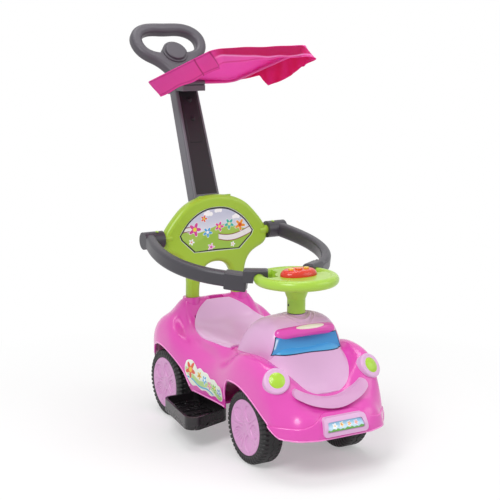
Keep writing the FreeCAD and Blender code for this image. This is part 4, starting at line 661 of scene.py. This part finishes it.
# Backrest picture in the recess: white rim, black line, sky, grass and flowers
poster = {"legX": 6.0, "foot": 266.0, "lean": 1.0, "floor": 11.0, "lift": 0.25, "half": 131.0, "height": 225.0,
          "crown": ((0.0, 0.885), (0.267, 0.86), (0.535, 0.76), (0.72, 0.62)), "low": ((0.69, 0.575), (0.445, 0.44)),
          "enlarged": 1.06, "middle": 0.655, "lineEnd": (4.8, 5.5), "rimEnd": (1.3, 1.9)}
crownRight = np.array(poster["crown"])
crownLine = smoothLine(np.vstack([crownRight[:0:-1] * (-1, 1), crownRight]), 120)
lowLine = np.array(poster["low"])
rim = np.vstack([crownLine, lowLine, lowLine[::-1] * (-1, 1)]) * (poster["half"], poster["height"])
rim, _ = evenly(rim, 560, closed=True)
posterMiddle = np.array([0, poster["middle"] * poster["height"]])
sheet = fanSheet(rim, posterMiddle, 84)
p, q = np.moveaxis((sheet - posterMiddle) / poster["enlarged"], -1, 0)
paint = np.ones(p.shape + (3,)) * ink("#C9CCDF")
paint = over(paint, "#E8ECF4", 1 - step(q, -10, 38))
hill = 3 + 7 * np.sin(p / 21 + 0.8)
paint = over(paint, "#A9CC58", 1 - step(q - hill, -0.5, 0.5))
paint = over(paint, "#8FBF33", (1 - step(q - hill + 16 + 4 * np.sin(p / 13), -3, 3)) * 0.5)
path = -9 - 12 * np.cos((p - 30) / 30)
trail = np.abs(q - path - 2) - (3.2 + 0.02 * (p + 80))
shown = np.maximum(step(p, 2, 6), 1 - step(p, -58, -54))
paint = over(paint, "#86382F", (1 - step(trail, 1.5, 2.2)) * shown)
paint = over(paint, "#F2F0EE", (1 - step(trail, -0.3, 0.4)) * shown)
for cloudX, cloudY, size in ((-20, 34, 6), (46, 24, 5), (4, 40, 5)):
    puffs = sum(disc(p, q, (cloudX + dx * size, cloudY + dy * size), size * k, 0.8)
                for dx, dy, k in ((-1, 0, 0.8), (0, 0.3, 1.0), (1.1, 0, 0.75)))
    paint = over(paint, "#FFFFFF", puffs)
paint = flowers(paint, p, q, ((-52, 4, 15, 0.3, "#D8489C", "#F6E04A"), (-22, -4, 11, 1.1, "#4AA8E0", "#FFFFFF"),
                              (6, 6, 11, 0.2, "#E0489C", "#F8D848"), (30, 10, 12, 2.0, "#38B8A8", "#F4F0B0"),
                              (56, 6, 13, 0.9, "#F09A30", "#D84A2A"), (-30, 25, 8, 0.0, "#E04A30", "#F8D848"),
                              (-60, -22, 6, 0.6, "#F4F4F4", "#E07830"), (-14, -36, 8, 0.0, "#F0B8DC", "#D8489C"),
                              (66, 22, 6, 0.4, "#A088D8", "#F4F0B0"), (38, -34, 5, 0.0, "#F4F4F4", "#F0C838")))
edgeRun = np.linalg.norm(sheet - rim[None], axis=2)
paint = over(paint, "#1A1A20", 1 - step(edgeRun, *poster["lineEnd"]))
paint = over(paint, "#EEF2E6", 1 - step(edgeRun, *poster["rimEnd"]))
tilt = math.radians(poster["lean"])
ahead = poster["floor"] + poster["lift"]
across, up = sheet[..., 0], sheet[..., 1]
posterPoints = placed(np.stack([poster["legX"] + ahead * math.cos(tilt) - up * math.sin(tilt), across,
                                poster["foot"] + ahead * math.sin(tilt) + up * math.cos(tilt)], -1))
printPiece("backrestPicture", posterPoints, "printedVinylPoster", 0.24, (1, 0, 0), paint)
print("backrest picture laid")


# Side stickers: die-cut outline on the flank, white margin, flower and round shapes
sticker = {"centre": (190, 124), "slope": -7.0, "lift": 0.0003, "beside": 260, "margin": (2.0, 2.6),
           "outline": ((-82, 8), (-78, 22), (-62, 27), (-46, 22), (-38, 15), (-26, 22), (-10, 20), (6, 22), (22, 17),
                       (40, 21), (56, 17), (70, 16), (79, 5), (78, -10), (64, -15), (46, -13), (28, -19), (8, -16),
                       (-10, -21), (-30, -19), (-48, -24), (-66, -16), (-78, -5), (-82, 8))}
for side, way in sides.items():
    rim, _ = evenly(smoothLine(sticker["outline"], 300), 420, closed=True)
    sheet = fanSheet(rim, np.array([0, 0]), 46)
    p, q = sheet[..., 0], sheet[..., 1]
    paint = np.ones(p.shape + (3,)) * ink("#EAF1E2")
    paint = over(paint, "#B6D98A", 1 - step(np.abs(q + 4 - 6 * np.sin(p / 16)), 5, 8))
    paint = over(paint, "#5AB0DC", 1 - step(np.abs(q + 13 - 3 * np.sin(p / 12)), 1.2, 2.2))
    paint = flower(paint, p, q, (-60, 7), 19, 0.5, "#DE5A3C", "#F6C84A")
    paint = flowers(paint, p, q, ((-24, 6, 10, 0.2, "#E8C23C", "#B86A2A"), (-1, 5, 10, 0.9, "#58AEE0", "#FFFFFF"),
                                  (21, 1, 10, 0.3, "#E070B0", "#F8E070"), (43, 3, 10, 1.4, "#7CC04A", "#F8E070"),
                                  (63, 2, 9, 0.2, "#5A8FD8", "#FFFFFF")))
    paint = over(paint, "#F6F6F2", 1 - step(np.linalg.norm(sheet - rim[None], axis=2), *sticker["margin"]))
    slope = math.radians(sticker["slope"])
    x = sticker["centre"][0] + p * math.cos(slope) - q * math.sin(slope)
    z = sticker["centre"][1] + p * math.sin(slope) + q * math.cos(slope)
    start = placed(np.stack([x, np.full_like(x, way * sticker["beside"]), z], -1))
    laid = laidOn("body_shell", start, "-y" if way > 0 else "+y")
    laid += gridNormals(laid, (0, way, 0)) * sticker["lift"]
    name = "Sticker" + side.capitalize()
    printPiece("side" + name, laid, "printedVinyl" + name, 0.24, (0, way, 0), paint)
print("side stickers laid")


# Number plate print: sky over grass, a round-cornered sheet laid on the plate from the front
plate = {"low": 100.0, "high": 117.0, "halfLow": 42.8, "halfHigh": 38.0, "round": 4.0, "ahead": 620,
         "lift": 0.00025}
corners = np.array([(-plate["halfLow"], plate["low"]), (plate["halfLow"], plate["low"]),
                    (plate["halfHigh"], plate["high"]), (-plate["halfHigh"], plate["high"])])
before, after = (unit(np.roll(corners, k, 0) - corners) * plate["round"] for k in (1, -1))
bend = np.linspace(0, 1, 9)[None, :, None]
rim = corners[:, None] + before[:, None] * (1 - bend) ** 2 + after[:, None] * bend ** 2
rim, _ = evenly(rim.reshape(-1, 2), 300, closed=True)
sheet = fanSheet(rim, corners.mean(0), 44)
y, z = sheet[..., 0], sheet[..., 1]
laid = laidOn("number_plate", placed(np.stack([np.full_like(y, plate["ahead"]), y, z], -1)), "-x")
laid += gridNormals(laid, (1, 0, 0)) * plate["lift"]
up = (z - plate["low"]) / (plate["high"] - plate["low"])
paint = np.ones(laid.shape) * ink("#8FC3E4")
paint = over(paint, "#C4E2F2", 1 - step(up, 0.3, 0.9))
paint = over(paint, "#6CAE52", 1 - step(up - 0.24 - 0.05 * np.sin(y / 1.7) - 0.05 * np.sin(y / 5), -0.04, 0.04))
paint = flowers(paint, y, z, ((-24, 109.5, 5, 0.3, "#F2F2F2", "#F0B83C"), (-8, 110.5, 4.6, 0.8, "#F0C23C", "#D8642C"),
                              (9, 109.5, 4.6, 0.1, "#E8843C", "#F8E070"), (25, 110, 4.4, 0.5, "#E86A9C", "#F8E070")))
printPiece("platePrint", laid, "printedVinylPlate", 0.2, (1, 0, 0), paint)
print("plate printed")


# Bumper skin: the nose below its crease stands out from the body, the crease lifts over the plate, and the lower edge
# rises beside the wheel arches and ends in a rolled lip
bumper = {"centreX": 395, "reach": 260, "halfTurn": 64, "proud": 2.6, "roll": 3.5, "lipRadius": 1.5, "sunk": 0.4,
          "halfWidth": 128, "farthest": 0.2,
          "low": ((0, 86.5), (50, 86.5), (54, 88.5), (57, 93), (60, 99.5), (64, 107)),
          "crease": ((0, 131), (46, 131), (56, 129), (72, 115), (82, 110.5), (95, 109.5), (150, 109.5))}
turn = np.radians(np.linspace(-bumper["halfTurn"], bumper["halfTurn"], 261))[None]
guessY = bumper["halfWidth"] * np.sign(turn) * np.abs(np.sin(turn)) ** 0.8
creaseZ = np.interp(np.abs(guessY), *np.array(bumper["crease"]).T)
lowZ = np.interp(np.degrees(np.abs(turn)), *np.array(bumper["low"]).T)
fromTop = np.concatenate([np.linspace(0, bumper["roll"], 9), bumper["roll"] + np.linspace(1, 12, 4)])[:, None]
fromTop = fromTop * np.minimum(1, (creaseZ - lowZ) / 16.5)
down = np.linspace(0, 1, 12)[1:, None]
z = np.concatenate([creaseZ - fromTop, (creaseZ - fromTop[-1]) * (1 - down) + lowZ * down])
fromTop = np.concatenate([fromTop, fromTop[-1] + 30 * down])
drumX, drumY = bumper["centreX"] + bumper["reach"] * np.cos(turn), bumper["reach"] * np.sin(turn)
drum = placed(np.stack([drumX + 0 * z, drumY + 0 * z, z], -1))
laid = laidOn("body_shell", drum)
landed = (np.linalg.norm(laid[..., :2] - placed((bumper["centreX"], 0, 0))[:2], axis=-1) < bumper["farthest"]).all(0)
laid, fromTop, z = laid[:, landed], fromTop[:, landed], z[:, landed]
proud = bumper["proud"] * np.sqrt(np.clip(1 - (1 - np.clip(fromTop / bumper["roll"], 0, 1)) ** 2, 0, 1))
outwards = gridNormals(laid, (1, 0, 0.2))
skin = laid + outwards * 0.001 * proud[..., None]
back = (laid - outwards * 0.001 * bumper["sunk"])[::-1]
gridPiece("bumperSkin", np.concatenate([skin, back[:1]]), "body", [bodyPink], closeColumns=False,
          facing=(1, 0, 0))
around = np.linspace(0, 2 * np.pi, 13)[:-1, None, None]
upwards = np.array([0, 0, 1.0])
bead = skin[-1] + 0.001 * bumper["lipRadius"] * (np.cos(around) * outwards[-1] + np.sin(around) * upwards)
# the lip takes the paler pink of the painted highlight on rolled edges
gridPiece("bumperLip", np.moveaxis(bead, 0, 1), "body", [paleHighlightPink], caps=(True, True))
print("bumper skin laid on", int(landed.sum()), "columns")


# Push pole panel: dark front face between its flanges, with a raised round-cornered field and two pips
panel = {"foot": (-48, 481), "lean": 22, "length": 292, "low": 0.3, "high": 247, "halfFoot": 33, "halfTop": 28,
         "depthFoot": 18, "depthTop": 17, "flange": 6.5, "lift": 0.25, "fieldLow": 121, "fieldHigh": 262,
         "fieldHalf": 19, "fieldRound": 6, "fieldRise": 1.5, "pips": ((177, 0), (222, 0)), "pipRadius": 5.5,
         "pipRise": 4.4}
share, along = np.meshgrid(np.linspace(-1, 1, 121), np.linspace(panel["low"], panel["high"], 420))
up = along / panel["length"]
b = share * (panel["halfFoot"] + (panel["halfTop"] - panel["halfFoot"]) * up - panel["flange"])
# how far inside the field a point lies: the smaller of its two margins, with rounded corners
spanA = (panel["fieldHigh"] - panel["fieldLow"]) / 2
past = np.stack([np.abs(along - panel["fieldLow"] - spanA) - spanA, np.abs(b) - panel["fieldHalf"]])
past = past + panel["fieldRound"]
margin = panel["fieldRound"] - np.linalg.norm(np.maximum(past, 0), axis=0) - np.minimum(past.max(0), 0)
rise = panel["lift"] + panel["fieldRise"] * step(margin, 0, 1.6)
for place, side in panel["pips"]:
    reach = np.hypot(along - place, b - side) / panel["pipRadius"]
    rise = rise + panel["pipRise"] * np.sqrt(np.clip(1 - reach ** 2, 0, 1))
# the outermost line of the sheet dips, so that no edge floats
fromEnd = np.minimum(along - panel["low"], panel["high"] - along) / 20
rise = rise - 0.5 * (np.minimum(1 - np.abs(share), fromEnd) < 0.01)
out = panel["depthFoot"] + (panel["depthTop"] - panel["depthFoot"]) * up + rise
tilt = math.radians(panel["lean"])
x = panel["foot"][0] - along * math.sin(tilt) + out * math.cos(tilt)
z = panel["foot"][1] + along * math.cos(tilt) + out * math.sin(tilt)
gridPiece("polePanel", placed(np.stack([x, b, z], -1)), "body", [polePlastic], closeColumns=False,
          facing=(1, 0, 0))
print("pole panel set")


# Lips: a half-round bead along the lower edge of each flank, over both arches and along the rocker between them, in a
# paler pink that is a painted highlight
lip = {"rearArch": ((-49.5, 128), (-39, 153.8), (-21.8, 162), (2.3, 163.5), (26.3, 159.8), (51, 152.3), (71.3, 143.3),
                    (108, 120.8), (127, 99)),
       "rocker": ((140, 92), (170, 92), (207, 92), (240, 92), (276, 92)),
       "frontArch": ((281.8, 112.5), (285.5, 137.3), (296, 153.8), (315.5, 159), (338, 159.8), (360.5, 156.8),
                     (386.8, 147.8), (409.3, 135.8), (435.5, 119.3), (455, 106)),
       "search": (-3, 14), "finest": 0.35, "beside": 260.0, "flank": (0.05, 0.2), "rise": 1.4, "sunk": 0.12,
       "columns": 260, "rows": 12}
offsets = np.arange(*lip["search"], lip["finest"])[:, None]
for run in ("rearArch", "rocker", "frontArch"):
    edge, _ = evenly(smoothLine(lip[run], 200), lip["columns"])
    along = unit(np.gradient(edge, axis=0))
    outward = np.stack([-along[:, 1], along[:, 0]], 1)
    where = edge[None] + outward[None] * offsets[..., None]
    for side, way in sides.items():
        start = placed(np.stack([where[..., 0], np.full(where.shape[:2], way * lip["beside"]), where[..., 1]], -1))
        laid = laidOn("body_shell", start, "-y" if way > 0 else "+y")
        onFlank = (way * laid[..., 1] > lip["flank"][0]) & (way * laid[..., 1] < lip["flank"][1])
        # the bead starts at the first row that lands on the flank
        pick = np.argmax(onFlank, 0)[None] + np.arange(lip["rows"])[:, None]
        kept = onFlank.any(0) & (pick[-1] < len(offsets))
        pick = np.minimum(pick, len(offsets) - 1)
        laid = np.take_along_axis(laid, pick[..., None], 0)[:, kept]
        bulge = np.sin(np.linspace(0, np.pi, lip["rows"]))[:, None, None] ** 0.7 * lip["rise"] - lip["sunk"]
        laid = laid + gridNormals(laid, (0, way, 0)) * 0.001 * bulge
        gridPiece(run + "Lip" + side.capitalize(), laid, "body", [paleHighlightPink], closeColumns=False,
                  facing=(0, way, 0))
        print(run, side, "lip laid on", int(kept.sum()), "of", lip["columns"], "places")


# Collar rings on the cowl round the steering column: two beads, laid on from above
collar = {"centre": (348, 0), "from": 24.0, "to": 40.0, "above": 330.0,
          "beads": ((28.0, 1.8, 1.6), (36.0, 1.5, 0.9)), "rings": 33, "columns": 180}
radius = np.linspace(collar["from"], collar["to"], collar["rings"])[:, None]
around = np.linspace(0, 2 * np.pi, collar["columns"], endpoint=False)[None]
overhead = np.full((collar["rings"], collar["columns"]), collar["above"])
ring = np.stack([collar["centre"][0] + radius * np.cos(around), radius * np.sin(around), overhead], -1)
laid = laidOn("front_cowl", placed(ring), "-z")
rise = sum(height * np.exp(-((radius - at) / wide) ** 2) for at, wide, height in collar["beads"]) - 0.05
laid[..., 2] += 0.001 * rise
gridPiece("cowlCollar", laid, "body", [palePink], facing=(0, 0, 1))
print("collar laid, lowest", round(float(laid[..., 2].min()), 4))


# Small parts: a lime pip on each arm's knuckle, and a dark disc on the column, painted shade for its screw hole
def dome(name, centre, half, axes, body, material):
    # half an ellipsoid that stands on a plane: two directions along the plane, one out of it
    lean = np.linspace(np.pi / 2, 0.06, 10)[:, None, None]
    around = np.linspace(0, 2 * np.pi, 40, endpoint=False)[None, :, None]
    u, v, w = (np.array(axis, float) for axis in axes)
    points = (np.array(centre, float) + np.sin(lean) * (np.cos(around) * half[0] * u + np.sin(around) * half[1] * v)
              + np.cos(lean) * half[2] * w)
    gridPiece(name, placed(points), body, [material], caps=(False, True), facing=tuple(w))


pip = {"place": (12, 146.5, 420.2), "half": (6.5, 3.2, 2.4), "axes": ((1, 0, 0), (0, 1, 0), (0, 0, 1))}
screw = {"place": (347.6, -18.3, 310), "half": (2.6, 2.6, 0.6), "axes": ((1, 0, 0), (0, 0, 1), (0, -1, 0))}
for side, way in sides.items():
    place = (pip["place"][0], way * pip["place"][1], pip["place"][2])
    dome("knucklePip" + side.capitalize(), place, pip["half"], pip["axes"], "arm_" + side, wheelLime)
# painted shade: a dark disc stands in for the shade inside the screw hole
dome("columnHoleShade", screw["place"], screw["half"], screw["axes"], "steering", polePlastic)
print("small parts set")


# Studio: pale floor and soft light
lamps = {
    "keyLamp": {"place": (1500, -1900, 2500), "size": 1.5, "power": 52},
    "fillLamp": {"place": (1900, 1900, 1500), "size": 2.0, "power": 16},
    "topLamp": {"place": (-300, 100, 2900), "size": 2.0, "power": 34},
}
for name, lamp in lamps.items():
    data = bpy.data.lights.new(name, "AREA")
    data.shape, data.size, data.energy = "DISK", lamp["size"], lamp["power"]
    lampObject = bpy.data.objects.new(name, data)
    lampObject.location = placed(lamp["place"])
    aim = placed((150, 0, 350)) - placed(lamp["place"])
    yaw, pitch = math.atan2(aim[0], -aim[1]), math.atan2(math.hypot(aim[0], aim[1]), -aim[2])
    lampObject.rotation_euler = (pitch, 0, yaw + math.pi)
    scene.collection.objects.link(lampObject)


def whiteRays(tree):
    # camera, mirror and glass rays see the white backdrop; the rest see plain light
    path = add(tree, "ShaderNodeLightPath")
    seen = path.outputs["Is Camera Ray"]
    for name in ("Is Glossy Ray", "Is Transmission Ray"):
        seen = add(tree, "ShaderNodeMath", {0: seen, 1: path.outputs[name]}, operation="MAXIMUM").outputs[0]
    return seen


world = bpy.data.worlds.new("studioWorld")
scene.world = world
world.use_nodes = True
sky = world.node_tree.nodes["Background"]
tree = world.node_tree
feed(tree, sky, {"Color": (1, 1, 1, 1), "Strength": ranged(tree, whiteRays(tree), 0.34, 1.0)})

floorMesh = bpy.data.meshes.new("floor")
floorMesh.from_pydata([(-12, -12, 0), (12, -12, 0), (12, 12, 0), (-12, 12, 0)], [], [(0, 1, 2, 3)])
floor = bpy.data.objects.new("floor", floorMesh)
scene.collection.objects.link(floor)
# White studio paper: near the car it keeps the shadow, further out it reads as the white backdrop
paper, tree, shader, where = newMaterial("studioPaper")
feed(tree, shader, {"Base Color": linear("#FAFAFA"), "Roughness": 0.9})
away = add(tree, "ShaderNodeVectorMath", {0: where}, operation="LENGTH").outputs["Value"]
clear = times(tree, whiteRays(tree), ranged(tree, away, 0.34, 1.0, 0.3, 0.95))
glow = add(tree, "ShaderNodeEmission", {"Color": (1, 1, 1, 1), "Strength": 1.0})
blend = add(tree, "ShaderNodeMixShader", {0: clear, 1: shader.outputs[0], 2: glow.outputs[0]})
feed(tree, tree.nodes["Material Output"], {"Surface": blend.outputs[0]})
floorMesh.materials.append(paper)
print("studio set")
